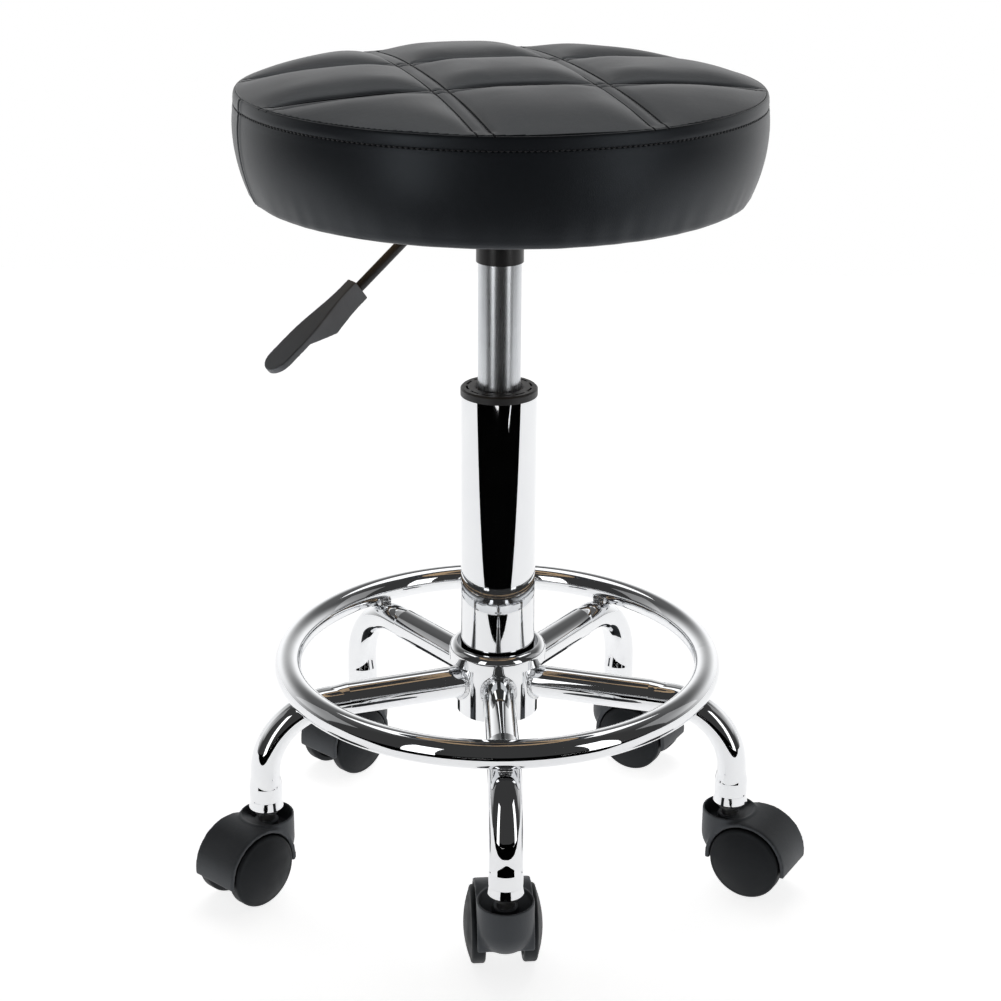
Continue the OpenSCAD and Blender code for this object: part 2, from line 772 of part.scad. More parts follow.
// Wheel drawn on its own axis: the inner face at z = 0, the domed outer face up
module wheel_shape() {
  tread = wheel_w - 6.2;
  edge = 1.2;
  dome = wheel_w - tread;
  dome_r = (pow(wheel_r, 2) + pow(dome, 2)) / (2 * dome);
  pocket = 4.5;
  difference() {
    intersection() {
      union() {
        cylinder(r1 = wheel_r - edge, r2 = wheel_r, h = edge);
        translate([0, 0, edge]) cylinder(r = wheel_r, h = tread - edge);
        translate([0, 0, tread]) cylinder(r1 = wheel_r, r2 = wheel_r - 4, h = dome);
      }
      translate([0, 0, wheel_w - dome_r]) sphere(r = dome_r);
    }
    tube(wheel_r - 4, axle_r + 3.5, -1, pocket);
    translate([0, 0, -1]) cylinder(r = axle_r + run, h = wheel_w - wheel_cap + 1);
  }
}

module wheel(i, side) {
  inner = castor_w / 2 - wheel_w;
  color(BLACK) at_castor(i) translate([trail, side * inner, axle_z]) rotate([-side * 90, 0, 0]) wheel_shape();
}

// ---------------------------------------------------------------- selection

hub();
hub_welds();
for (i = [0 : N_LEGS - 1]) {
  leg(i);
  hood(i);
  axle(i);
  wheel(i, 1);
  wheel(i, -1);
}
foot_ring();
ring_welds();
leg_sockets();
castor_stems();
stem_grip_rings();
column_tube();
guide_bushing();
bearing_washer_lower();
bearing_balls();
bearing_washer_upper();
retaining_clip();
rubber_buffer();
piston_rod();
piston_head();
pressure_tube();
tube_gland();
valve_housing();
valve_pin();
lift_socket();
seat_plate();
plate_screws();
t_nuts();
lever_bracket();
pivot_pin();
lever_rod();
lever_handle();
seat_board();
foam_pad();
cover_top();
cover_band();
cover_staples();
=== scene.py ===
import json
import math
import random

import bmesh
import bpy
from mathutils import Euler, Matrix, Vector, noise
from mathutils.bvhtree import BVHTree


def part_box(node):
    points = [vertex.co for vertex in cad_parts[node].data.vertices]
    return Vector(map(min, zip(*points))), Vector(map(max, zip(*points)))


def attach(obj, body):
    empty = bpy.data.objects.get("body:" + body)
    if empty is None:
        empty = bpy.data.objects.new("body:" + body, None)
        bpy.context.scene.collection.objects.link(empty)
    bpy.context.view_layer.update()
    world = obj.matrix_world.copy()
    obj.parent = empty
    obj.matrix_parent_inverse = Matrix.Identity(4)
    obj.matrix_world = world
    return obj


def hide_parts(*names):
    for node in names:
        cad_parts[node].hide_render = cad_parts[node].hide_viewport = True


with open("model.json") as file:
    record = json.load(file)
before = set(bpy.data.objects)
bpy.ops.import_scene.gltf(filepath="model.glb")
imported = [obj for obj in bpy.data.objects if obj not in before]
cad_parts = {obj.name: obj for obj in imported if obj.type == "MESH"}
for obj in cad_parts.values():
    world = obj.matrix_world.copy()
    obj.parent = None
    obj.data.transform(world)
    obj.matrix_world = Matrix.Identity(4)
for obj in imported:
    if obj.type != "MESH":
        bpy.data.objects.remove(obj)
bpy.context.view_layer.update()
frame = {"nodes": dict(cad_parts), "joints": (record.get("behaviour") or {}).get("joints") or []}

bl_info = {
    "name": "Adjustable swivel stool",
    "version": (1, 0, 0),
    "blender": (4, 5, 0),
    "location": "View3D > Sidebar > Stool",
    "description": "Builds the upholstery, castors, lever handle and finishes of a swivel stool round its frame",
    "category": "Object",
}

MM = 0.001
TAU = 2 * math.pi
LEGS = range(1, 6)

# ------------------------------------------------------------------ sizes taken from the frame

SEAT_LOW, SEAT_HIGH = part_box("cover_band")
TOP_LOW, TOP_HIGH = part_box("cover_top")
BOARD_LOW, BOARD_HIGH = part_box("seat_board")
SEAT_R = SEAT_HIGH.x
SEAT_Z = SEAT_LOW.z
SEAM_R = TOP_HIGH.x
COVER_T = 1.2 * MM                # thickness of the cover
SEAM_Z = SEAT_HIGH.z + COVER_T
STITCH_Z = SEAM_Z - 8.2 * MM      # row of stitches below the edge seam
BELLY_Z = SEAT_Z + 45 * MM        # where the side band is widest
WHEEL_WIDTH = 13.2 * MM
WHEEL_BORE = 3.05 * MM

# Slightly blue sheen of black leathercloth and moulded plastic
COOL = (0.84, 0.92, 1.0, 1)


def mm(value):
    return value * MM


# ------------------------------------------------------------------ settings


class SeatSettings(bpy.types.PropertyGroup):
    """Sizes of the quilted cushion and its sewing"""

    quilt_turn: bpy.props.FloatProperty(
        name="Quilt turn", description="Angle of the quilting against the front of the stool",
        default=math.radians(15.5), subtype="ANGLE")
    panel_half: bpy.props.FloatProperty(
        name="Half panel", description="Distance from the seat's middle to the middle of a sewn band",
        default=mm(50.5), min=mm(20), max=mm(80), unit="LENGTH")
    band_width: bpy.props.FloatProperty(
        name="Band width", description="Distance between the two stitch lines of a band",
        default=mm(9), min=mm(4), max=mm(20), unit="LENGTH")
    puff: bpy.props.FloatProperty(
        name="Puff", description="How far the middle of a panel stands above its stitch lines",
        default=mm(7), min=0, max=mm(15), unit="LENGTH")
    crown: bpy.props.FloatProperty(
        name="Crown", description="How far the sewn bands rise from the edge seam to the middle",
        default=mm(8.5), min=0, max=mm(20), unit="LENGTH")
    cell: bpy.props.FloatProperty(
        name="Cloth cell", description="Spacing of the cloth that is inflated",
        default=mm(2.6), min=mm(1), max=mm(8), unit="LENGTH")
    stitch_pitch: bpy.props.FloatProperty(
        name="Stitch pitch", description="Distance from one topstitch to the next",
        default=mm(3.3), min=mm(2), max=mm(8), unit="LENGTH")
    side_seam_turn: bpy.props.FloatProperty(
        name="Side seam", description="Where the upright seam of the side band lies, from +X",
        default=math.radians(200), subtype="ANGLE")
    leather_colour: bpy.props.FloatVectorProperty(
        name="Leather", description="Colour of the upholstery", subtype="COLOR", size=4,
        default=(0.0085, 0.0098, 0.0125, 1), min=0, max=1)
    thread_colour: bpy.props.FloatVectorProperty(
        name="Thread", description="Colour of the sewing thread", subtype="COLOR", size=4,
        default=(0.012, 0.013, 0.016, 1), min=0, max=1)


class CastorSettings(bpy.types.PropertyGroup):
    """Sizes and colour of the moulded castor pieces"""

    rounding: bpy.props.FloatProperty(
        name="Hood grain", description="Cell in which the moulded edges of a hood are rounded off",
        default=mm(0.75), min=mm(0.4), max=mm(3), unit="LENGTH")
    dome: bpy.props.FloatProperty(
        name="Dome", description="How far the outer face of a wheel bulges",
        default=mm(6.2), min=mm(1), max=mm(10), unit="LENGTH")
    plastic_colour: bpy.props.FloatVectorProperty(
        name="Castor plastic", description="Colour of the hoods and wheels", subtype="COLOR", size=4,
        default=(0.034, 0.035, 0.038, 1), min=0, max=1)


class MetalSettings(bpy.types.PropertyGroup):
    """Colours of the metal and painted pieces"""

    chrome_colour: bpy.props.FloatVectorProperty(
        name="Chrome", description="Colour of the chrome plating", subtype="COLOR", size=4,
        default=(0.80, 0.81, 0.82, 1), min=0, max=1)
    steel_colour: bpy.props.FloatVectorProperty(
        name="Satin steel", description="Colour of the gas lift's tube", subtype="COLOR", size=4,
        default=(0.66, 0.68, 0.70, 1), min=0, max=1)
    paint_colour: bpy.props.FloatVectorProperty(
        name="Black paint", description="Colour of the painted steel", subtype="COLOR", size=4,
        default=(0.010, 0.010, 0.011, 1), min=0, max=1)
    handle_colour: bpy.props.FloatVectorProperty(
        name="Handle", description="Colour of the lever handle", subtype="COLOR", size=4,
        default=(0.12, 0.122, 0.128, 1), min=0, max=1)


class StageSettings(bpy.types.PropertyGroup):
    """The floor, the lights and the camera"""

    floor_colour: bpy.props.FloatVectorProperty(
        name="Floor", description="Colour of the floor", subtype="COLOR", size=4,
        default=(0.93, 0.93, 0.93, 1), min=0, max=1)
    floor_glow: bpy.props.FloatProperty(
        name="Floor glow", description="Light the floor gives off itself",
        default=0.82, min=0, max=2)
    lens: bpy.props.FloatProperty(
        name="Lens", description="Focal length of the camera in millimetres",
        default=74.2, min=20, max=200)
    camera_pitch: bpy.props.FloatProperty(
        name="Camera pitch", description="How far the camera looks down",
        default=math.radians(20.8), subtype="ANGLE")
    camera_roll: bpy.props.FloatProperty(
        name="Camera roll", description="How far the camera leans over",
        default=math.radians(0.5), subtype="ANGLE")


# ------------------------------------------------------------------ mesh helpers


def new_piece(name, bm, material, body):
    """Makes a piece of a bmesh and lets it ride on a body."""
    mesh = bpy.data.meshes.new(name)
    bm.to_mesh(mesh)
    bm.free()
    piece = bpy.data.objects.new(name, mesh)
    bpy.context.scene.collection.objects.link(piece)
    mesh.materials.append(material)
    mesh.shade_smooth()
    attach(piece, body)
    return piece


def tidy(bm, gap=mm(0.005)):
    bmesh.ops.remove_doubles(bm, verts=bm.verts, dist=gap)
    bmesh.ops.recalc_face_normals(bm, faces=bm.faces)


def lathe(profile, steps):
    """Spins a closed profile of (radius, height) points round Z."""
    bm = bmesh.new()
    verts = [bm.verts.new((r, 0, z)) for r, z in profile]
    edges = [bm.edges.new((a, b)) for a, b in zip(verts, verts[1:] + verts[:1])]
    bmesh.ops.spin(bm, geom=verts + edges, cent=(0, 0, 0), axis=(0, 0, 1), angle=TAU,
                   steps=steps, use_merge=True)
    tidy(bm)
    return bm


def softened_copy(node, cell, passes=4, extra=None):
    """Merged copy of a frame node, and of an extra mesh, with its edges rounded as a moulding's are."""
    bm = bmesh.new()
    bm.from_mesh(frame["nodes"][node].data)
    bmesh.ops.remove_doubles(bm, verts=bm.verts, dist=mm(0.002))
    if extra:
        bm.from_mesh(extra)
    mesh = bpy.data.meshes.new("softened")
    bm.to_mesh(mesh)
    bm.free()
    holder = bpy.data.objects.new("softened", mesh)
    bpy.context.scene.collection.objects.link(holder)
    remesh = holder.modifiers.new("Round off", "REMESH")
    remesh.mode = "VOXEL"
    remesh.voxel_size = cell
    graph = bpy.context.evaluated_depsgraph_get()
    out = bmesh.new()
    out.from_mesh(holder.evaluated_get(graph).to_mesh())
    bpy.data.objects.remove(holder)
    bpy.data.meshes.remove(mesh)
    for _ in range(passes):
        bmesh.ops.smooth_vert(out, verts=out.verts, factor=0.5, use_axis_x=True, use_axis_y=True, use_axis_z=True)
    return out


# ------------------------------------------------------------------ shader helpers


def add_node(tree, kind, values=None, **settings):
    """Adds a node. Each value is set on the input it names, or linked to it if it is a socket."""
    node = tree.nodes.new(kind)
    for key, value in settings.items():
        setattr(node, key, value)
    for key, value in (values or {}).items():
        if isinstance(value, bpy.types.NodeSocket):
            tree.links.new(value, node.inputs[key])
        else:
            node.inputs[key].default_value = value
    return node


def calc(tree, operation, *values):
    """Output of a maths node on numbers and sockets."""
    return add_node(tree, "ShaderNodeMath", dict(enumerate(values)), operation=operation).outputs[0]


def fade(tree, value, start, end, low=0.0, high=1.0, kind="SMOOTHSTEP"):
    """Output that runs from low to high while the value goes from start to end."""
    return add_node(tree, "ShaderNodeMapRange", {
        "Value": value, "From Min": start, "From Max": end, "To Min": low, "To Max": high},
        interpolation_type=kind).outputs["Result"]


def new_group(name, inputs, outputs):
    """A node group with the outputs of its start node, and a function that sends its results out."""
    group = bpy.data.node_groups.new(name, "ShaderNodeTree")
    group.interface.new_socket("Vector", in_out="INPUT", socket_type="NodeSocketVector")
    for label, default in inputs.items():
        group.interface.new_socket(label, in_out="INPUT", socket_type="NodeSocketFloat").default_value = default
    for label in outputs:
        group.interface.new_socket(label, in_out="OUTPUT", socket_type="NodeSocketFloat")
    start, end = group.nodes.new("NodeGroupInput"), group.nodes.new("NodeGroupOutput")

    def send(*results):
        for label, result in zip(outputs, results):
            group.links.new(result, end.inputs[label])

    return group, start.outputs, send


def group_fine_grain():
    """Pebbled grain of moulded plastic and coated cloth: a height and a mask of its hollows."""
    group, given, send = new_group("Fine grain", {"Scale": 900.0, "Roundness": 0.6}, ["Height", "Hollows"])
    where = {"Vector": given["Vector"], "Scale": given["Scale"]}
    cells = add_node(group, "ShaderNodeTexVoronoi", {**where, "Smoothness": given["Roundness"]}, feature="SMOOTH_F1")
    grit = add_node(group, "ShaderNodeTexNoise", {**where, "Detail": 3.0, "Roughness": 0.55})
    mix = add_node(group, "ShaderNodeMix", {
        "Factor": 0.45, "A": cells.outputs["Distance"], "B": grit.outputs["Fac"]}, data_type="FLOAT")
    send(fade(group, mix.outputs["Result"], 0.25, 0.75, kind="LINEAR"), cells.outputs["Distance"])


def group_soft_patches():
    """Broad, soft patches such as handling leaves: a mask from 0 to 1."""
    group, given, send = new_group("Soft patches", {"Scale": 12.0, "Contrast": 0.2}, ["Mask"])
    broad = add_node(group, "ShaderNodeTexNoise", {
        "Vector": given["Vector"], "Scale": given["Scale"], "Detail": 5.0, "Roughness": 0.6, "Distortion": 0.4})
    low = calc(group, "SUBTRACT", 0.5, given["Contrast"])
    high = calc(group, "ADD", 0.5, given["Contrast"])
    send(fade(group, broad.outputs["Fac"], low, high, kind="LINEAR"))


def group_settled_dust():
    """Thin dust that lies on faces that look up: a mask."""
    group, given, send = new_group("Settled dust", {"Amount": 0.2}, ["Mask"])
    facing = add_node(group, "ShaderNodeNewGeometry").outputs["Normal"]
    split = add_node(group, "ShaderNodeSeparateXYZ", {0: facing})
    upward = fade(group, split.outputs["Z"], 0.2, 1.0, kind="LINEAR")
    specks = add_node(group, "ShaderNodeTexNoise", {
        "Vector": given["Vector"], "Scale": 260.0, "Detail": 6.0, "Roughness": 0.7})
    thin = fade(group, specks.outputs["Fac"], 0.52, 0.72, kind="LINEAR")
    send(calc(group, "MULTIPLY", calc(group, "MULTIPLY", upward, thin), given["Amount"]))


def group_drawn_lines():
    """Fine lines along Z that drawing and polishing leave on a tube: a height."""
    group, given, send = new_group("Drawn lines", {"Scale": 900.0, "Stretch": 0.02}, ["Height"])
    split = add_node(group, "ShaderNodeSeparateXYZ", {0: given["Vector"]}).outputs
    drawn = add_node(group, "ShaderNodeCombineXYZ", {
        "X": split["X"], "Y": split["Y"], "Z": calc(group, "MULTIPLY", split["Z"], given["Stretch"])})
    lines = add_node(group, "ShaderNodeTexNoise", {
        "Vector": drawn.outputs[0], "Scale": given["Scale"], "Detail": 4.0, "Roughness": 0.6})
    send(lines.outputs["Fac"])


def group_quilt_lines():
    """Grooves of the quilting's stitch lines, from the distance to the nearest line: a mask for their depth and
    their painted shade.
    """
    seat = bpy.context.scene.stool_seat
    group, given, send = new_group("Quilt lines", {"Width": mm(0.9)}, ["Mask"])
    turned = add_node(group, "ShaderNodeVectorRotate", {"Vector": given["Vector"], "Angle": -seat.quilt_turn},
                      rotation_type="Z_AXIS")
    split = add_node(group, "ShaderNodeSeparateXYZ", {0: turned.outputs[0]}).outputs
    gaps = []
    for axis in ("X", "Y"):
        gap = split[axis]
        for line in (seat.panel_half, seat.band_width / 2, 0.0):
            gap = calc(group, "SUBTRACT", calc(group, "ABSOLUTE", gap), line)
        gaps.append(gap)
    near = fade(group, calc(group, "MINIMUM", *gaps), 0.0, given["Width"], 1.0, 0.0)
    height = add_node(group, "ShaderNodeSeparateXYZ", {0: given["Vector"]}).outputs["Z"]
    send(calc(group, "MULTIPLY", near, calc(group, "GREATER_THAN", height, SEAM_Z - mm(1))))


def group_edge_stitches():
    """Needle holes and dashes of the row of stitches below the edge seam: a mask for their depth and their painted
    shade.
    """
    seat = bpy.context.scene.stool_seat
    group, given, send = new_group("Edge stitches", {"Width": mm(0.8)}, ["Mask"])
    split = add_node(group, "ShaderNodeSeparateXYZ", {0: given["Vector"]}).outputs
    turn = calc(group, "ARCTAN2", split["Y"], split["X"])
    count = round(TAU * SEAM_R / seat.stitch_pitch)
    step = calc(group, "FRACT", calc(group, "MULTIPLY", turn, count / TAU))
    dash = fade(group, calc(group, "PINGPONG", step, 0.5), 0.10, 0.22)
    off = calc(group, "ABSOLUTE", calc(group, "SUBTRACT", split["Z"], STITCH_Z))
    send(calc(group, "MULTIPLY", dash, fade(group, off, 0.0, given["Width"], 1.0, 0.0)))


class Finish:
    """A material with its shader, ready to be given grain, patches and dust."""

    def __init__(self, name, colour, roughness, metallic=0.0, **constants):
        self.material = bpy.data.materials.new(name)
        self.material.use_nodes = True
        self.tree = self.material.node_tree
        self.tree.nodes.clear()
        self.output = self.add("ShaderNodeOutputMaterial")
        self.shader = self.add("ShaderNodeBsdfPrincipled", {
            "Base Color": colour, "Roughness": roughness, "Metallic": metallic})
        for key, value in constants.items():
            self.shader.inputs[key.replace("_", " ")].default_value = value
        self.tree.links.new(self.shader.outputs[0], self.output.inputs["Surface"])
        self.place = self.add("ShaderNodeTexCoord").outputs["Object"]
        self.colour, self.normal = colour, None
        self.material.diffuse_color = colour

    def add(self, kind, values=None, **settings):
        return add_node(self.tree, kind, values, **settings)

    def group(self, name, **values):
        return self.add("ShaderNodeGroup", {"Vector": self.place, **values}, node_tree=bpy.data.node_groups[name])

    def bump(self, height, distance, strength=1.0):
        node = self.add("ShaderNodeBump", {"Distance": distance, "Strength": strength, "Height": height})
        if self.normal:
            self.tree.links.new(self.normal, node.inputs["Normal"])
        self.normal = node.outputs["Normal"]
        self.tree.links.new(self.normal, self.shader.inputs["Normal"])
        return self

    def tint(self, mask, colour):
        """Mixes a colour in where the mask is high."""
        node = self.add("ShaderNodeMix", {"Factor": mask, 6: self.colour, 7: colour}, data_type="RGBA")
        self.colour = node.outputs[2]
        self.tree.links.new(self.colour, self.shader.inputs["Base Color"])
        return self

    def dull(self, mask, socket, value):
        """Takes a socket of the shader to a value where the mask is high."""
        before = self.shader.inputs[socket].links[0].from_socket
        node = self.add("ShaderNodeMix", {"Factor": mask, "A": before, "B": value}, data_type="FLOAT")
        self.tree.links.new(node.outputs["Result"], self.shader.inputs[socket])
        return self

    def vary(self, mask, socket, low, high):
        """Lets a socket of the shader run from low to high with a mask."""
        self.tree.links.new(fade(self.tree, mask, 0.0, 1.0, low, high, "LINEAR"), self.shader.inputs[socket])
        return self


def finish(name):
    return bpy.data.materials[name]


def scaled(colour, share, blue=None):
    """A colour with its brightness scaled, its blue by a share of its own if one is given."""
    return colour[0] * share, colour[1] * share, colour[2] * (blue or share), 1


def moulded(name, colour, roughness, grain, bump, patches, tint, rough, dust=None, **constants):
    """A moulded or painted finish.

    grain is (scale, roundness), bump (mm, strength), patches (scale, contrast), and dust (amount, grey).
    The patches tint the colour and run the roughness from the first value of rough to the second.
    """
    made = Finish(name, colour, roughness, **constants)
    height = made.group("Fine grain", Scale=grain[0], Roundness=grain[1]).outputs["Height"]
    mask = made.group("Soft patches", Scale=patches[0], Contrast=patches[1]).outputs["Mask"]
    made.bump(height, mm(bump[0]), bump[1])
    made.tint(mask, scaled(colour, tint))
    if dust:
        made.tint(made.group("Settled dust", Amount=dust[0]).outputs["Mask"], (dust[1], dust[1], dust[1], 1))
    made.vary(mask, "Roughness", *rough)


# ------------------------------------------------------------------ finishes


def make_leather():
    colour = tuple(bpy.context.scene.stool_seat.leather_colour)
    made = Finish("Black leathercloth", colour, 0.42, Specular_IOR_Level=0.42, Specular_Tint=COOL)
    grain = made.group("Fine grain", Scale=1500.0, Roundness=0.7)
    patches = made.group("Soft patches", Scale=9.0, Contrast=0.22)
    dust = made.group("Settled dust", Amount=0.05)
    made.bump(grain.outputs["Height"], mm(0.05), 0.55)
    made.tint(patches.outputs["Mask"], scaled(colour, 1.25, 1.28))
    made.tint(dust.outputs["Mask"], (0.16, 0.16, 0.16, 1))
    made.vary(patches.outputs["Mask"], "Roughness", 0.37, 0.45)
    for lines, depth in ((made.group("Quilt lines"), mm(1.1)), (made.group("Edge stitches"), mm(0.7))):
        # painted shade: the stitch grooves and needle holes are coloured near black where the mask is high, and are
        # also dulled and sunk by a bump
        made.tint(lines.outputs["Mask"], (0.002, 0.002, 0.003, 1))
        made.dull(lines.outputs["Mask"], "Roughness", 0.95)
        made.bump(calc(made.tree, "SUBTRACT", 1.0, lines.outputs["Mask"]), depth)


def make_thread():
    colour = tuple(bpy.context.scene.stool_seat.thread_colour)
    made = Finish("Sewing thread", colour, 0.62, Sheen_Weight=0.2)
    twist = made.add("ShaderNodeTexWave", {"Vector": made.place, "Scale": 900.0, "Distortion": 1.0},
                     bands_direction="DIAGONAL")
    made.bump(twist.outputs["Fac"], mm(0.05), 0.6)
    made.tint(twist.outputs["Fac"], scaled(colour, 1.8))


def make_castor_plastic():
    moulded("Castor plastic", tuple(bpy.context.scene.stool_castors.plastic_colour), 0.5,
            grain=(1100.0, 0.5), bump=(0.08, 0.7), patches=(30.0, 0.2), tint=1.35, rough=(0.44, 0.58),
            dust=(0.12, 0.12), Specular_IOR_Level=0.5, Specular_Tint=COOL)


def make_tyre_plastic():
    moulded("Wheel plastic", scaled(bpy.context.scene.stool_castors.plastic_colour, 0.2), 0.5,
            grain=(1300.0, 0.5), bump=(0.06, 0.6), patches=(60.0, 0.12), tint=1.6, rough=(0.45, 0.6),
            Specular_IOR_Level=0.22, Specular_Tint=COOL)


def make_handle_plastic():
    moulded("Handle plastic", tuple(bpy.context.scene.stool_metal.handle_colour), 0.5,
            grain=(1400.0, 0.4), bump=(0.06, 0.6), patches=(25.0, 0.18), tint=1.3, rough=(0.42, 0.55),
            dust=(0.08, 0.15), Specular_IOR_Level=0.5, Specular_Tint=COOL)


def make_guide_plastic():
    made = Finish("Guide plastic", (0.019, 0.019, 0.020, 1), 0.42, Specular_IOR_Level=0.5)
    grain = made.group("Fine grain", Scale=1600.0, Roundness=0.3)
    dust = made.group("Settled dust", Amount=0.35)
    made.bump(grain.outputs["Height"], mm(0.06), 0.6)
    made.tint(dust.outputs["Mask"], (0.10, 0.10, 0.10, 1))
    made.vary(grain.outputs["Hollows"], "Roughness", 0.36, 0.55)


def make_chrome():
    colour = tuple(bpy.context.scene.stool_metal.chrome_colour)
    made = Finish("Chrome plating", colour, 0.06, 1.0)
    smears = made.group("Soft patches", Scale=22.0, Contrast=0.2)
    ripple = made.group("Soft patches", Scale=60.0, Contrast=0.35)
    dust = made.group("Settled dust", Amount=0.04)
    made.bump(ripple.outputs["Mask"], mm(0.012), 0.5)
    made.tint(smears.outputs["Mask"], scaled(colour, 0.94, 0.95))
    made.tint(dust.outputs["Mask"], (0.5, 0.5, 0.5, 1))
    made.vary(smears.outputs["Mask"], "Roughness", 0.014, 0.04)


def make_weld_chrome():
    colour = scaled(bpy.context.scene.stool_metal.chrome_colour, 0.88)
    made = Finish("Chromed weld", colour, 0.16, 1.0)
    beads = made.add("ShaderNodeTexNoise", {"Vector": made.place, "Scale": 420.0, "Detail": 2.0})
    smears = made.group("Soft patches", Scale=90.0, Contrast=0.2)
    made.bump(beads.outputs["Fac"], mm(0.7), 0.8)
    made.tint(smears.outputs["Mask"], scaled(colour, 0.8, 0.82))
    made.vary(smears.outputs["Mask"], "Roughness", 0.1, 0.26)


def make_satin_steel():
    colour = tuple(bpy.context.scene.stool_metal.steel_colour)
    made = Finish("Satin steel", colour, 0.3, 1.0)
    lines = made.group("Drawn lines", Scale=1500.0, Stretch=0.015)
    patches = made.group("Soft patches", Scale=40.0, Contrast=0.25)
    made.bump(lines.outputs["Height"], mm(0.012), 0.4)
    made.tint(patches.outputs["Mask"], scaled(colour, 0.86, 0.87))
    made.vary(lines.outputs["Height"], "Roughness", 0.22, 0.34)


def make_zinc_steel():
    made = Finish("Zinc-plated steel", (0.52, 0.52, 0.50, 1), 0.34, 1.0)
    spangle = made.add("ShaderNodeTexVoronoi", {"Vector": made.place, "Scale": 380.0})
    patches = made.group("Soft patches", Scale=120.0, Contrast=0.2)
    made.bump(patches.outputs["Mask"], mm(0.03), 0.4)
    made.tint(spangle.outputs["Distance"], (0.42, 0.42, 0.43, 1))
    made.vary(patches.outputs["Mask"], "Roughness", 0.26, 0.46)


def make_black_paint():
    moulded("Black paint", tuple(bpy.context.scene.stool_metal.paint_colour), 0.36,
            grain=(700.0, 0.9), bump=(0.04, 0.5), patches=(30.0, 0.2), tint=1.5, rough=(0.3, 0.46),
            dust=(0.1, 0.12), Specular_IOR_Level=0.5)


def make_rubber():
    moulded("Rubber", (0.018, 0.018, 0.018, 1), 0.7,
            grain=(900.0, 0.4), bump=(0.08, 0.6), patches=(50.0, 0.2), tint=5 / 3, rough=(0.62, 0.8),
            Specular_IOR_Level=0.35)


def make_plywood():
    made = Finish("Plywood", (0.42, 0.28, 0.16, 1), 0.62, Specular_IOR_Level=0.3)
    squeeze = made.add("ShaderNodeMapping", {"Vector": made.place, "Scale": (1.0, 14.0, 14.0)})
    grain = made.add("ShaderNodeTexNoise", {
        "Vector": squeeze.outputs[0], "Scale": 12.0, "Detail": 8.0, "Roughness": 0.65, "Distortion": 0.6})
    plies = made.add("ShaderNodeTexWave", {"Vector": made.place, "Scale": 78.0, "Distortion": 0.3},
                     bands_direction="Z")
    facing = made.add("ShaderNodeNewGeometry").outputs["Normal"]
    flat = calc(made.tree, "ABSOLUTE", made.add("ShaderNodeSeparateXYZ", {0: facing}).outputs["Z"])
    edge_on = calc(made.tree, "SUBTRACT", 1.0, flat)
    made.tint(grain.outputs["Fac"], (0.56, 0.40, 0.24, 1))
    made.tint(calc(made.tree, "MULTIPLY", edge_on, plies.outputs["Fac"]), (0.20, 0.12, 0.06, 1))
    made.bump(grain.outputs["Fac"], mm(0.15), 0.5)
    made.vary(grain.outputs["Fac"], "Roughness", 0.5, 0.75)


# Frame nodes that keep their shape, with the finish each one gets
NODE_FINISHES = {
    "Chrome plating": ["hub", "foot_ring", "leg_sockets", "column_tube"] + [f"leg_{i}" for i in LEGS],
    "Chromed weld": ["hub_welds", "ring_welds"],
    "Satin steel": ["pressure_tube", "piston_rod"],
    "Zinc-plated steel": ["castor_stems", "stem_grip_rings", "bearing_washer_lower", "bearing_balls",
                          "bearing_washer_upper", "retaining_clip", "valve_housing", "valve_pin", "plate_screws",
                          "t_nuts", "pivot_pin", "cover_staples"] + [f"axle_{i}" for i in LEGS],
    "Black paint": ["lift_socket", "seat_plate", "lever_bracket", "lever_rod"],
    "Guide plastic": ["guide_bushing"],
    "Rubber": ["rubber_buffer", "piston_head", "tube_gland"],
    "Plywood": ["seat_board"],
}


def dress_nodes():
    for name, nodes in NODE_FINISHES.items():
        for node in nodes:
            for place in frame["nodes"][node].material_slots:
                place.material = finish(name)


# ------------------------------------------------------------------ seat


def ease(t):
    t = min(1.0, max(0.0, t))
    return t * t * (3 - 2 * t)


def bulge(distance, reach, power=2.4):
    """Height share of padding at a distance from the nearest sewn line."""
    t = min(1.0, max(0.0, distance / reach))
    return 1 - (1 - t) ** power


def spaced(limit, marks, cell):
    """Grid positions from -limit to limit that pass through every mark."""
    out = []
    stops = [-limit] + sorted(marks) + [limit]
    for a, b in zip(stops, stops[1:]):
        count = max(1, round((b - a) / cell))
        out += [a + (b - a) * k / count for k in range(count)]
    return out + [limit]


def stitch_lines(seat):
    half = seat.band_width / 2
    return [side * seat.panel_half + offset for side in (-1, 1) for offset in (-half, half)]


def top_height(u, v, seat, puff):
    """Height of the quilted top over the quilt's own axes."""
    r = math.hypot(u, v)
    low = SEAM_Z + seat.crown * (1 - min(1.0, r / SEAM_R) ** 2.4)
    half = seat.band_width / 2

    def across(x):
        x = abs(x)
        if x < seat.panel_half:
            return bulge(seat.panel_half - half - x, mm(30))
        return bulge(x - seat.panel_half - half, mm(34))

    inner = across(u) * across(v)
    rim = bulge(SEAM_R - r, mm(46), 2.2)
    return low + puff * inner * rim


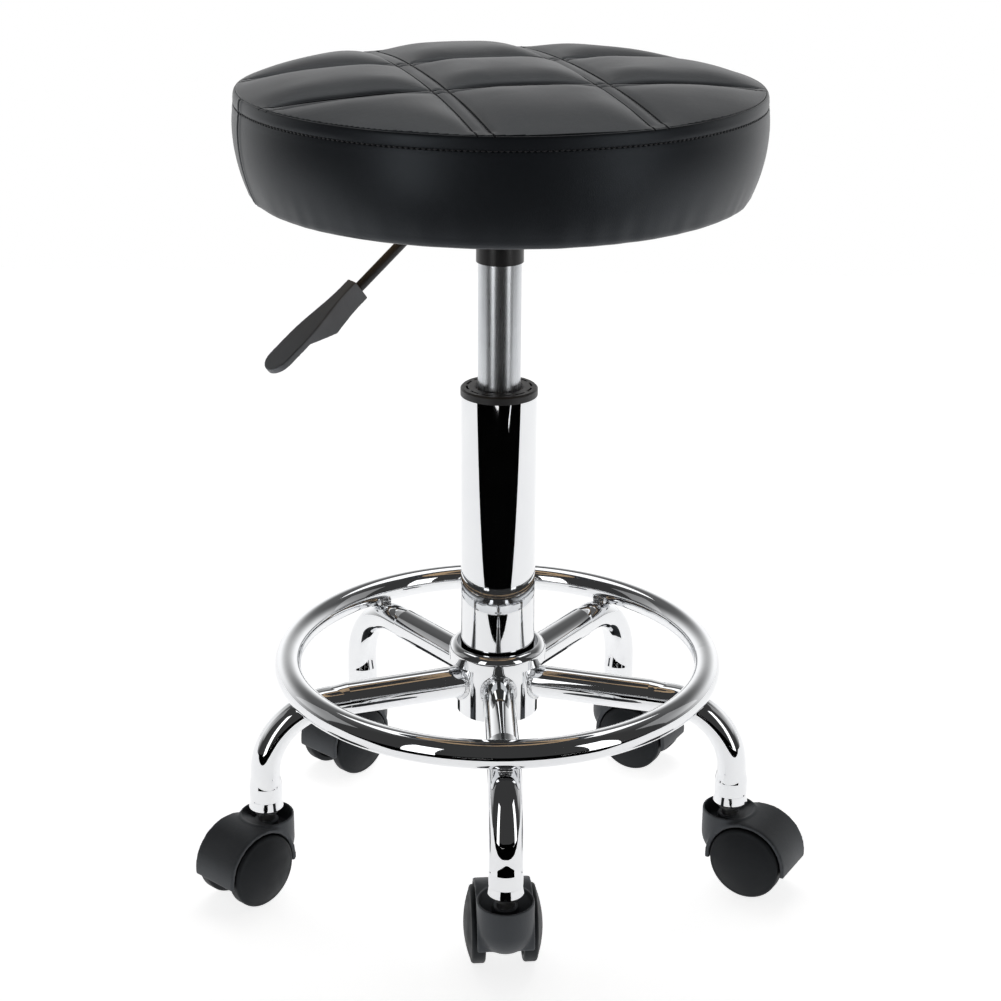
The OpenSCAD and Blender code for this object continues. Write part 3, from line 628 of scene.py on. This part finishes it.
def quilt_grid(seat):
    """The cover's top panel, cut to the seam, with grid lines along every stitch line."""
    marks = spaced(SEAM_R + seat.cell, stitch_lines(seat), seat.cell)
    count = len(marks)
    bm = bmesh.new()
    bmesh.ops.create_grid(bm, x_segments=count - 1, y_segments=count - 1, size=0.5)
    for vert in bm.verts:
        vert.co.x = marks[round((vert.co.x + 0.5) * (count - 1))]
        vert.co.y = marks[round((vert.co.y + 0.5) * (count - 1))]
    outside = [f for f in bm.faces if all(v.co.xy.length >= SEAM_R for v in f.verts)]
    bmesh.ops.delete(bm, geom=outside, context="FACES")
    for vert in bm.verts:
        if vert.co.xy.length > SEAM_R:
            vert.co.xy = vert.co.xy.normalized() * SEAM_R
    bmesh.ops.remove_doubles(bm, verts=bm.verts, dist=mm(0.25))
    rim = [v for v in bm.verts if v.is_boundary]
    near = [v for v in bm.verts if SEAM_R - 2.2 * seat.cell < v.co.xy.length and not v.is_boundary]
    for _ in range(6):
        bmesh.ops.smooth_vert(bm, verts=near, factor=0.5, use_axis_x=True, use_axis_y=True)
    return bm, rim


def inflate(piece, pinned, frames=20, cap=mm(5)):
    """Blows the piece up as cloth that is held at its pinned vertices, and keeps what it becomes."""
    mesh = piece.data
    before = [v.co.copy() for v in mesh.vertices]
    group = piece.vertex_groups.new(name="sewn")
    group.add(pinned, 1.0, "REPLACE")
    cloth = piece.modifiers.new("Cloth", "CLOTH")
    made = cloth.settings
    made.vertex_group_mass = "sewn"
    made.mass = 0.08
    made.quality = 5
    made.tension_stiffness = made.compression_stiffness = 12
    made.shear_stiffness = 5
    made.bending_stiffness = 0.6
    made.use_pressure = True
    made.uniform_pressure_force = 4
    made.effector_weights.gravity = 0
    scene = bpy.context.scene
    for step in range(1, frames + 1):
        scene.frame_set(step)
    graph = bpy.context.evaluated_depsgraph_get()
    after = [v.co.copy() for v in piece.evaluated_get(graph).data.vertices]
    piece.modifiers.remove(cloth)
    piece.vertex_groups.clear()
    scene.frame_set(1)
    moved = 0.0
    for vert, old, new in zip(mesh.vertices, before, after):
        step = new - old
        moved = max(moved, step.length)
        if step.length > cap:
            step = step * (cap / step.length)
        vert.co = old + step
    print(f"inflated {piece.name}: furthest move {moved / MM:.1f} mm")


def make_seat_top():
    seat = bpy.context.scene.stool_seat
    lines = stitch_lines(seat)
    half = seat.band_width / 2
    bm, rim = quilt_grid(seat)
    rim_set = set(rim)
    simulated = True
    for vert in bm.verts:
        vert.co.z = top_height(vert.co.x, vert.co.y, seat, seat.puff * (0.8 if simulated else 1.0))
    bm.verts.index_update()

    def sewn(vert):
        in_band = min(abs(abs(vert.co.x) - seat.panel_half), abs(abs(vert.co.y) - seat.panel_half))
        return vert in rim_set or in_band < half + mm(0.2)

    pinned = [v.index for v in bm.verts if sewn(v)]
    piece = new_piece("seat_top", bm, finish("Black leathercloth"), "seat")
    if simulated:
        inflate(piece, pinned)
    bm = bmesh.new()
    bm.from_mesh(piece.data)
    crease = bm.edges.layers.float.new("crease_edge")
    for edge in bm.edges:
        a, b = edge.verts
        for axis in (0, 1):
            if abs(a.co[axis] - b.co[axis]) < mm(0.05) and any(abs(a.co[axis] - s) < mm(0.3) for s in lines):
                edge[crease] = 1.0
                for vert in (a, b):
                    vert.tag = True
    for vert in bm.verts:
        if vert.tag:
            vert.co.z -= mm(1.2)
        else:
            spot = vert.co * 28
            vert.co.z += mm(0.35) * noise.noise(spot)
    bm.to_mesh(piece.data)
    bm.free()
    surface = piece.modifiers.new("Smooth cloth", "SUBSURF")
    surface.levels = surface.render_levels = 1
    graph = bpy.context.evaluated_depsgraph_get()
    bm = bmesh.new()
    bm.from_mesh(piece.evaluated_get(graph).data)
    piece.modifiers.remove(surface)
    # the panel is tucked into the seam, and closed round the foam
    for out, drop in ((-mm(0.6), -mm(1.2)), (-mm(1.6), -mm(4)), (-mm(3.5), BOARD_HIGH.z + mm(2) - SEAM_Z + mm(5.2))):
        edges = [e for e in bm.edges if e.is_boundary]
        made = bmesh.ops.extrude_edge_only(bm, edges=edges)["geom"]
        for vert in (g for g in made if isinstance(g, bmesh.types.BMVert)):
            vert.co.xy = vert.co.xy.normalized() * (vert.co.xy.length + out)
            vert.co.z += drop
    bmesh.ops.holes_fill(bm, edges=[e for e in bm.edges if e.is_boundary], sides=0)
    bmesh.ops.rotate(bm, verts=bm.verts, cent=(0, 0, 0), matrix=Matrix.Rotation(seat.quilt_turn, 3, "Z"))
    bmesh.ops.recalc_face_normals(bm, faces=bm.faces)
    bm.to_mesh(piece.data)
    bm.free()
    piece.data.shade_smooth()
    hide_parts("foam_pad", "cover_top")


def side_radius(z):
    """Radius of the seat's side wall at a height."""
    arc_r = mm(101) if z < BELLY_Z else ((SEAM_Z - BELLY_Z) ** 2 + mm(3.2) ** 2) / (2 * mm(3.2))
    d = z - BELLY_Z
    return SEAT_R - (arc_r - math.sqrt(arc_r * arc_r - d * d))


def side_profile():
    """Half section of the side band, from the seam over the fold and down under the board."""
    fold_z = SEAM_Z - mm(6.6)
    points = [(SEAM_R - mm(1.3), SEAM_Z - mm(2.2)), (SEAM_R - mm(0.3), SEAM_Z - mm(0.8)),
              (SEAM_R + mm(0.3), SEAM_Z - mm(0.2)), (SEAM_R + mm(0.9), SEAM_Z - mm(0.3)),
              (SEAM_R + mm(1.5), SEAM_Z - mm(1.1)), (SEAM_R + mm(1.9), SEAM_Z - mm(2.6)),
              (SEAM_R + mm(2.1), SEAM_Z - mm(4.6)), (SEAM_R + mm(2.1), fold_z),
              (SEAM_R + mm(1.9), fold_z - mm(0.8)), (SEAM_R + mm(1.85), STITCH_Z),
              (SEAM_R + mm(2.1), STITCH_Z - mm(0.9)), (SEAM_R + mm(2.6), STITCH_Z - mm(2.4))]
    low = SEAT_Z + mm(6)
    start = STITCH_Z - mm(4)
    rows = 26
    for k in range(rows + 1):
        z = start + (low - start) * k / rows
        points.append((side_radius(z), z))
    foot = side_radius(low)
    points += [(foot - mm(0.9), SEAT_Z + mm(3.6)), (foot - mm(2.2), SEAT_Z + mm(1.6)),
               (foot - mm(4.2), SEAT_Z + mm(0.4)), (foot - mm(7), SEAT_Z)]
    fold_r = BOARD_HIGH.x - mm(22)
    for k in range(1, 9):
        points.append((foot - mm(7) + (fold_r - foot + mm(7)) * k / 8, SEAT_Z))
    points += [(fold_r - mm(0.3), SEAT_Z + mm(0.6)), (fold_r, SEAT_Z + COVER_T),
               (foot - mm(7), SEAT_Z + COVER_T), (foot - mm(3.4), SEAT_Z + mm(3.2))]
    points += [(side_radius(z) - mm(1.3), z) for z in (low + mm(4), BELLY_Z, start)]
    points += [(SEAM_R - mm(0.9), SEAM_Z - mm(8)), (SEAM_R - mm(1.9), SEAM_Z - mm(4))]
    return points


def make_seat_side():
    seat = bpy.context.scene.stool_seat
    bm = lathe(side_profile(), 720)
    seam = seat.side_seam_turn
    for vert in bm.verts:
        x, y, z = vert.co
        turn = math.atan2(y, x)
        out = Vector((x, y, 0)).normalized()
        spot = Vector((math.cos(turn) * 3.1, math.sin(turn) * 3.1, z * 22))
        swell = mm(0.45) * noise.noise(spot)
        # pulls of the stapled fold, strongest at the bottom edge
        low = 1 - ease((z - SEAT_Z - mm(2)) / mm(26))
        pull = mm(0.55) * low * noise.noise(Vector((math.cos(turn) * 15, math.sin(turn) * 15, 3.7 + z * 6)))
        if z < SEAT_Z + mm(3) and math.hypot(x, y) < SEAT_R - mm(14):
            vert.co.z += mm(0.5) * noise.noise(Vector((math.cos(turn) * 26, math.sin(turn) * 26, 9)))
        # upright seam where the ends of the band are sewn together
        away = (turn - seam + math.pi) % TAU - math.pi
        gap = abs(away) * SEAT_R
        dip = -mm(0.9) * math.exp(-(gap / mm(0.9)) ** 2) + mm(0.45) * math.exp(-((gap - mm(3)) / mm(2.2)) ** 2)
        vert.co += out * (swell + pull + dip)
    piece = new_piece("seat_side", bm, finish("Black leathercloth"), "seat")
    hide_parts("cover_band")


def sew(name, places, length, width):
    """Lays one stitch of thread at each (place, along, up), and joins them into one piece."""
    bm = bmesh.new()
    bmesh.ops.create_uvsphere(bm, u_segments=6, v_segments=4, radius=0.5,
                              matrix=Matrix.Rotation(math.pi / 2, 4, "Y"))
    shape = bpy.data.meshes.new("stitch")
    bm.to_mesh(shape)
    bm.free()
    laid = []
    for place, along, up in places:
        across = up.cross(along).normalized()
        turn = Matrix((along, across, along.cross(across))).transposed().to_4x4()
        stitch = bpy.data.objects.new("stitch", shape)
        stitch.matrix_world = Matrix.Translation(place) @ turn @ Matrix.Diagonal((length, width, width * 0.8, 1))
        bpy.context.scene.collection.objects.link(stitch)
        laid.append(stitch)
    first = laid[0]
    first.data = shape.copy()
    with bpy.context.temp_override(active_object=first, object=first, selected_objects=laid,
                                   selected_editable_objects=laid):
        bpy.ops.object.join()
    bm = bmesh.new()
    bm.from_mesh(first.data)
    bm.transform(first.matrix_world)
    bpy.data.objects.remove(first)
    piece = new_piece(name, bm, finish("Sewing thread"), "seat")


def surface_of(piece):
    graph = bpy.context.evaluated_depsgraph_get()
    return BVHTree.FromObject(piece, graph)


def make_topstitches():
    """Row of stitches below the folded edge of the side band."""
    seat = bpy.context.scene.stool_seat
    tree = surface_of(bpy.data.objects["seat_side"])
    count = round(TAU * SEAM_R / seat.stitch_pitch)
    chance = random.Random(7)
    places = []
    for k in range(count):
        turn = TAU * k / count
        out = Vector((math.cos(turn), math.sin(turn), 0))
        spot, normal, _, _ = tree.ray_cast(out * 0.25 + Vector((0, 0, STITCH_Z)), -out)
        along = Vector((-math.sin(turn), math.cos(turn), chance.uniform(-0.06, 0.06))).normalized()
        places.append((spot + normal * mm(0.05), along, normal))
    sew("edge_topstitches", places, seat.stitch_pitch * 0.74, mm(0.9))


def make_quilt_stitches():
    """Stitches along both edges of every quilted band."""
    seat = bpy.context.scene.stool_seat
    tree = surface_of(bpy.data.objects["seat_top"])
    spin = Matrix.Rotation(seat.quilt_turn, 3, "Z")
    pitch = seat.stitch_pitch
    up = Vector((0, 0, 1))
    places = []
    for axis in (0, 1):
        for line in stitch_lines(seat):
            reach = math.sqrt((SEAM_R - mm(1.5)) ** 2 - line * line)
            for k in range(int(2 * reach / pitch)):
                run = -reach + pitch * (k + 0.5)
                flat = Vector((line, run, 0)) if axis == 0 else Vector((run, line, 0))
                along = spin @ (Vector((0, 1, 0)) if axis == 0 else Vector((1, 0, 0)))
                spot, normal, _, _ = tree.ray_cast(spin @ flat + up, -up)
                slope = along - up * (along.dot(normal) / max(0.3, normal.z))
                places.append((spot + up * mm(0.05), slope.normalized(), up))
    sew("quilt_stitches", places, pitch * 0.72, mm(0.6))


# ------------------------------------------------------------------ castors


def castor_place(i):
    """Middle of castor i's axle, and the direction from wheel b to wheel a."""
    low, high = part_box(f"axle_{i}")
    a_low, a_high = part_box(f"wheel_{i}a")
    b_low, b_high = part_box(f"wheel_{i}b")
    across = ((a_low + a_high) - (b_low + b_high)).normalized()
    return (low + high) / 2, across


def fender_crown(i):
    """Crown of the fender of castor i, which closes the cup's floor over the wheel pockets."""
    axle, across = castor_place(i)
    stem = Vector(next(j["pos_m"] for j in frame["joints"] if j["name"] == f"castor_{i}_swivel"))
    back = Vector((axle.x - stem.x, axle.y - stem.y, 0)).normalized()
    low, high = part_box(f"wheel_{i}a")
    wheel_r = (high.z - low.z) / 2
    inner, outer = wheel_r + mm(1.05), wheel_r + mm(3.9)
    hood = frame["nodes"][f"hood_{i}"].data
    half = max(abs((v.co - axle).dot(across)) for v in hood.vertices) - mm(0.4)
    bm = lathe([(inner, -half), (outer, -half), (outer, half), (inner, half)], 96)
    bm.transform(Matrix.Translation(axle) @ across.to_track_quat("Z", "Y").to_matrix().to_4x4())
    for place, outside in ((axle, Vector((0, 0, -1))), (stem + back * mm(19), back)):
        cut = bmesh.ops.bisect_plane(bm, geom=bm.verts[:] + bm.edges[:] + bm.faces[:], plane_co=place,
                                     plane_no=outside, clear_outer=True)["geom_cut"]
        bmesh.ops.holes_fill(bm, edges=[e for e in cut if isinstance(e, bmesh.types.BMEdge)], sides=0)
    bmesh.ops.recalc_face_normals(bm, faces=bm.faces)
    mesh = bpy.data.meshes.new("fender crown")
    bm.to_mesh(mesh)
    bm.free()
    return mesh


def make_hoods():
    castors = bpy.context.scene.stool_castors
    for i in LEGS:
        bm = softened_copy(f"hood_{i}", castors.rounding, extra=fender_crown(i))
        piece = new_piece(f"castor_hood_{i}", bm, finish("Castor plastic"), f"castor_{i}")
        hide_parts(f"hood_{i}")


def wheel_profile(radius, width, bore, dome):
    """Half section of a wheel, from its inner face (height 0) to the domed outer face."""
    tread = width - dome
    dome_r = (radius ** 2 + (dome + mm(1)) ** 2) / (2 * (dome + mm(1)))
    points = [(bore, 0), (bore + mm(3), 0), (bore + mm(3.5), mm(0.4)), (bore + mm(3.6), mm(4.2)),
              (radius - mm(4.2), mm(4.2)), (radius - mm(3.8), mm(0.5)), (radius - mm(3.4), 0)]
    points += [(radius - mm(1.2), 0), (radius - mm(0.4), mm(0.45)), (radius, mm(1.4))]
    points += [(radius, tread * k / 4 + mm(1.4) * (1 - k / 4)) for k in range(1, 5)]
    rounding = mm(2.4)
    for k in range(1, 7):
        a = math.radians(15 * k)
        points.append((radius - rounding * (1 - math.cos(a)), tread + rounding * math.sin(a) * 0.9))
    edge_r, edge_z = points[-1]
    steps = 14
    for k in range(1, steps + 1):
        r = edge_r * (1 - k / steps)
        z = edge_z + (width - edge_z) * (1 - (r / edge_r) ** 2)
        points.append((r, z))
    points.append((0, width - mm(2.4)))
    points.append((bore, width - mm(2.4)))
    return points


def make_wheels():
    castors = bpy.context.scene.stool_castors
    for i in LEGS:
        _, across = castor_place(i)
        for side, letter in ((1, "a"), (-1, "b")):
            low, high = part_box(f"wheel_{i}{letter}")
            radius = (high.z - low.z) / 2
            middle = (low + high) / 2
            profile = wheel_profile(radius, WHEEL_WIDTH, WHEEL_BORE, castors.dome)
            bm = bmesh.new()
            verts = [bm.verts.new((r, 0, z)) for r, z in profile]
            edges = [bm.edges.new(pair) for pair in zip(verts, verts[1:] + verts[:1])]
            bmesh.ops.spin(bm, geom=verts + edges, cent=(0, 0, 0), axis=(0, 0, 1), angle=TAU,
                           steps=96, use_merge=True)
            bmesh.ops.remove_doubles(bm, verts=bm.verts, dist=mm(0.01))
            bmesh.ops.dissolve_degenerate(bm, edges=bm.edges, dist=mm(0.005))
            bmesh.ops.recalc_face_normals(bm, faces=bm.faces)
            direction = (across * side).normalized()
            inner = middle - direction * WHEEL_WIDTH / 2
            turn = direction.to_track_quat("Z", "Y").to_matrix().to_4x4()
            bm.transform(Matrix.Translation(inner) @ turn)
            piece = new_piece(f"castor_wheel_{i}{letter}", bm, finish("Wheel plastic"), f"wheel_{i}{letter}")
            bpy.context.view_layer.objects.active = piece
            piece.data.set_sharp_from_angle(angle=math.radians(50))
            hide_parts(f"wheel_{i}{letter}")


def make_handle():
    bm = softened_copy("lever_handle", mm(0.45), 5)
    piece = new_piece("handle", bm, finish("Handle plastic"), "lever")
    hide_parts("lever_handle")


# ------------------------------------------------------------------ stage


def stage_material(name, colour, roughness, glow):
    made = bpy.data.materials.new(name)
    made.use_nodes = True
    shader = made.node_tree.nodes["Principled BSDF"]
    shader.inputs["Base Color"].default_value = colour
    shader.inputs["Roughness"].default_value = roughness
    shader.inputs["Specular IOR Level"].default_value = 0.0
    shader.inputs["Emission Color"].default_value = (1, 1, 1, 1)
    shader.inputs["Emission Strength"].default_value = glow
    return made


def panel(name, place, size, aim, brightness, colour=(1, 1, 1)):
    """An area light that looks at a point."""
    data = bpy.data.lights.new(name, "AREA")
    data.shape = "RECTANGLE"
    data.size, data.size_y = size
    data.energy = brightness
    data.color = colour
    lamp = bpy.data.objects.new(name, data)
    bpy.context.scene.collection.objects.link(lamp)
    lamp.location = place
    lamp.rotation_euler = (Vector(aim) - Vector(place)).to_track_quat("-Z", "Y").to_euler()
    return lamp


def board(name, place, size, facing, shade, glow=0.0):
    """A board of the set that only shows in reflections."""
    bm = bmesh.new()
    bmesh.ops.create_grid(bm, x_segments=1, y_segments=1, size=0.5)
    bmesh.ops.scale(bm, verts=bm.verts, vec=(size[0], size[1], 1))
    if not facing[2]:
        bm.transform(Vector(facing).to_track_quat("Z", "Y").to_matrix().to_4x4())
    bm.transform(Matrix.Translation(place))
    mesh = bpy.data.meshes.new(name)
    bm.to_mesh(mesh)
    bm.free()
    made = bpy.data.objects.new(name, mesh)
    material = stage_material(name, (shade, shade, shade, 1), 1.0, glow)
    mesh.materials.append(material)
    bpy.context.scene.collection.objects.link(made)
    made.visible_camera = made.visible_shadow = made.visible_diffuse = False
    return made


def make_world():
    """A white surround to look at, and a softer one to be lit by: bright low behind, dim in front and above."""
    world = bpy.data.worlds.new("Studio")
    world.use_nodes = True
    tree = world.node_tree
    tree.nodes.clear()
    look = add_node(tree, "ShaderNodeTexCoord").outputs["Generated"]
    split = add_node(tree, "ShaderNodeSeparateXYZ", {0: look}).outputs
    behind = fade(tree, split["Y"], -0.1, 0.9, 0.0, 1.15)
    low = fade(tree, split["Z"], 0.15, 0.62, 1.0, 0.08)
    cast = add_node(tree, "ShaderNodeBackground", {
        "Color": (1, 1, 1, 1), "Strength": calc(tree, "ADD", calc(tree, "MULTIPLY", behind, low), 0.045)})
    seen = add_node(tree, "ShaderNodeBackground", {"Color": (1, 1, 1, 1), "Strength": 1.0})
    direct = add_node(tree, "ShaderNodeLightPath").outputs["Is Camera Ray"]
    pick = add_node(tree, "ShaderNodeMixShader", {0: direct, 1: cast.outputs[0], 2: seen.outputs[0]})
    add_node(tree, "ShaderNodeOutputWorld", {"Surface": pick.outputs[0]})
    bpy.context.scene.world = world


def make_stage():
    scene = bpy.context.scene
    stage = scene.stool_stage
    bm = bmesh.new()
    bmesh.ops.create_grid(bm, x_segments=1, y_segments=1, size=1.6)
    mesh = bpy.data.meshes.new("floor")
    bm.to_mesh(mesh)
    bm.free()
    floor = bpy.data.objects.new("floor", mesh)
    scene.collection.objects.link(floor)
    mesh.materials.append(stage_material("Floor", tuple(stage.floor_colour), 0.9, stage.floor_glow))

    make_world()
    scene.view_settings.view_transform = "Standard"

    panel("overhead", (0.0, 0.9, 2.0), (1.8, 1.0), (0, 0, 0.2), 8)
    panel("left", (-1.7, 0.3, 1.0), (0.9, 1.2), (0, 0, 0.35), 0.8)
    panel("right", (1.7, 0.3, 1.0), (0.9, 1.2), (0, 0, 0.35), 0.8)
    board("table end", (0, -2.88, mm(1)), (5, 5), (0, 0, 1), 0.002)
    for place in ((-0.185, -1.03), (0.63, -0.84)):
        board("small lamp", (*place, mm(2)), (0.34, 0.03), (0, 0, 1), 0.9, 1.0)
    board("left lamp", (-0.66, -0.94, 0.55), (0.32, 1.1), (0.66, 0.94, 0), 0.9, 1.3)
    board("right lamp", (0.88, -0.74, 0.55), (0.32, 1.1), (-0.88, 0.74, 0), 0.9, 1.1)

    data = bpy.data.cameras.new("Camera")
    data.lens = stage.lens
    data.sensor_width = 36
    data.shift_x = -0.0107
    camera = bpy.data.objects.new("Camera", data)
    scene.collection.objects.link(camera)
    camera.location = (0.0085, -1.2832, 0.7462)
    turn = Euler((math.pi / 2 - stage.camera_pitch, 0, 0)).to_matrix() @ Matrix.Rotation(stage.camera_roll, 3, "Z")
    camera.rotation_euler = turn.to_euler()
    scene.camera = camera


# ------------------------------------------------------------------ operators


class STOOL_OT_finishes(bpy.types.Operator):
    """Makes every finish and gives the frame's own pieces theirs"""

    bl_idname = "stool.finishes"
    bl_label = "Finishes"

    def execute(self, context):
        for make in (group_fine_grain, group_soft_patches, group_settled_dust, group_drawn_lines,
                     group_quilt_lines, group_edge_stitches,
                     make_leather, make_thread, make_castor_plastic, make_tyre_plastic, make_handle_plastic,
                     make_guide_plastic, make_chrome, make_weld_chrome, make_satin_steel, make_zinc_steel,
                     make_black_paint, make_rubber, make_plywood):
            make()
        dress_nodes()
        return {"FINISHED"}


class STOOL_OT_seat_top(bpy.types.Operator):
    """Makes the quilted top of the cushion"""

    bl_idname = "stool.seat_top"
    bl_label = "Quilted top"

    def execute(self, context):
        make_seat_top()
        return {"FINISHED"}


class STOOL_OT_seat_side(bpy.types.Operator):
    """Makes the side band of the cushion"""

    bl_idname = "stool.seat_side"
    bl_label = "Side band"

    def execute(self, context):
        make_seat_side()
        return {"FINISHED"}


class STOOL_OT_stitching(bpy.types.Operator):
    """Sews the edge and the quilting"""

    bl_idname = "stool.stitching"
    bl_label = "Stitching"

    def execute(self, context):
        make_topstitches()
        make_quilt_stitches()
        return {"FINISHED"}


class STOOL_OT_hoods(bpy.types.Operator):
    """Makes the five castor hoods"""

    bl_idname = "stool.hoods"
    bl_label = "Castor hoods"

    def execute(self, context):
        make_hoods()
        return {"FINISHED"}


class STOOL_OT_wheels(bpy.types.Operator):
    """Makes the ten castor wheels"""

    bl_idname = "stool.wheels"
    bl_label = "Castor wheels"

    def execute(self, context):
        make_wheels()
        return {"FINISHED"}


class STOOL_OT_handle(bpy.types.Operator):
    """Makes the handle of the height lever"""

    bl_idname = "stool.handle"
    bl_label = "Lever handle"

    def execute(self, context):
        make_handle()
        return {"FINISHED"}


class STOOL_OT_stage(bpy.types.Operator):
    """Makes the floor, the lights and the camera"""

    bl_idname = "stool.stage"
    bl_label = "Stage"

    def execute(self, context):
        make_stage()
        return {"FINISHED"}


SETTINGS = {"stool_seat": SeatSettings, "stool_castors": CastorSettings, "stool_metal": MetalSettings,
            "stool_stage": StageSettings}
OPERATORS = (STOOL_OT_finishes, STOOL_OT_seat_top, STOOL_OT_seat_side, STOOL_OT_stitching, STOOL_OT_hoods,
             STOOL_OT_wheels, STOOL_OT_handle, STOOL_OT_stage)


class STOOL_PT_build(bpy.types.Panel):
    """Lists the steps of the build and their settings"""

    bl_idname = "STOOL_PT_build"
    bl_label = "Stool"
    bl_space_type = "VIEW_3D"
    bl_region_type = "UI"
    bl_category = "Stool"

    def draw(self, context):
        layout = self.layout
        for key, kind in SETTINGS.items():
            box = layout.box()
            box.label(text=kind.__doc__)
            for name in kind.__annotations__:
                box.prop(getattr(context.scene, key), name)
        for kind in OPERATORS:
            layout.operator(kind.bl_idname)


def register():
    for kind in (*SETTINGS.values(), *OPERATORS, STOOL_PT_build):
        bpy.utils.register_class(kind)
    for key, kind in SETTINGS.items():
        setattr(bpy.types.Scene, key, bpy.props.PointerProperty(type=kind))


def unregister():
    for key in SETTINGS:
        delattr(bpy.types.Scene, key)
    for kind in (STOOL_PT_build, *OPERATORS, *SETTINGS.values()):
        bpy.utils.unregister_class(kind)


def main():
    register()
    bpy.ops.stool.finishes()
    bpy.ops.stool.seat_top()
    bpy.ops.stool.seat_side()
    bpy.ops.stool.stitching()
    bpy.ops.stool.hoods()
    bpy.ops.stool.wheels()
    bpy.ops.stool.handle()
    bpy.ops.stool.stage()


if __name__ == "__main__":
    main()
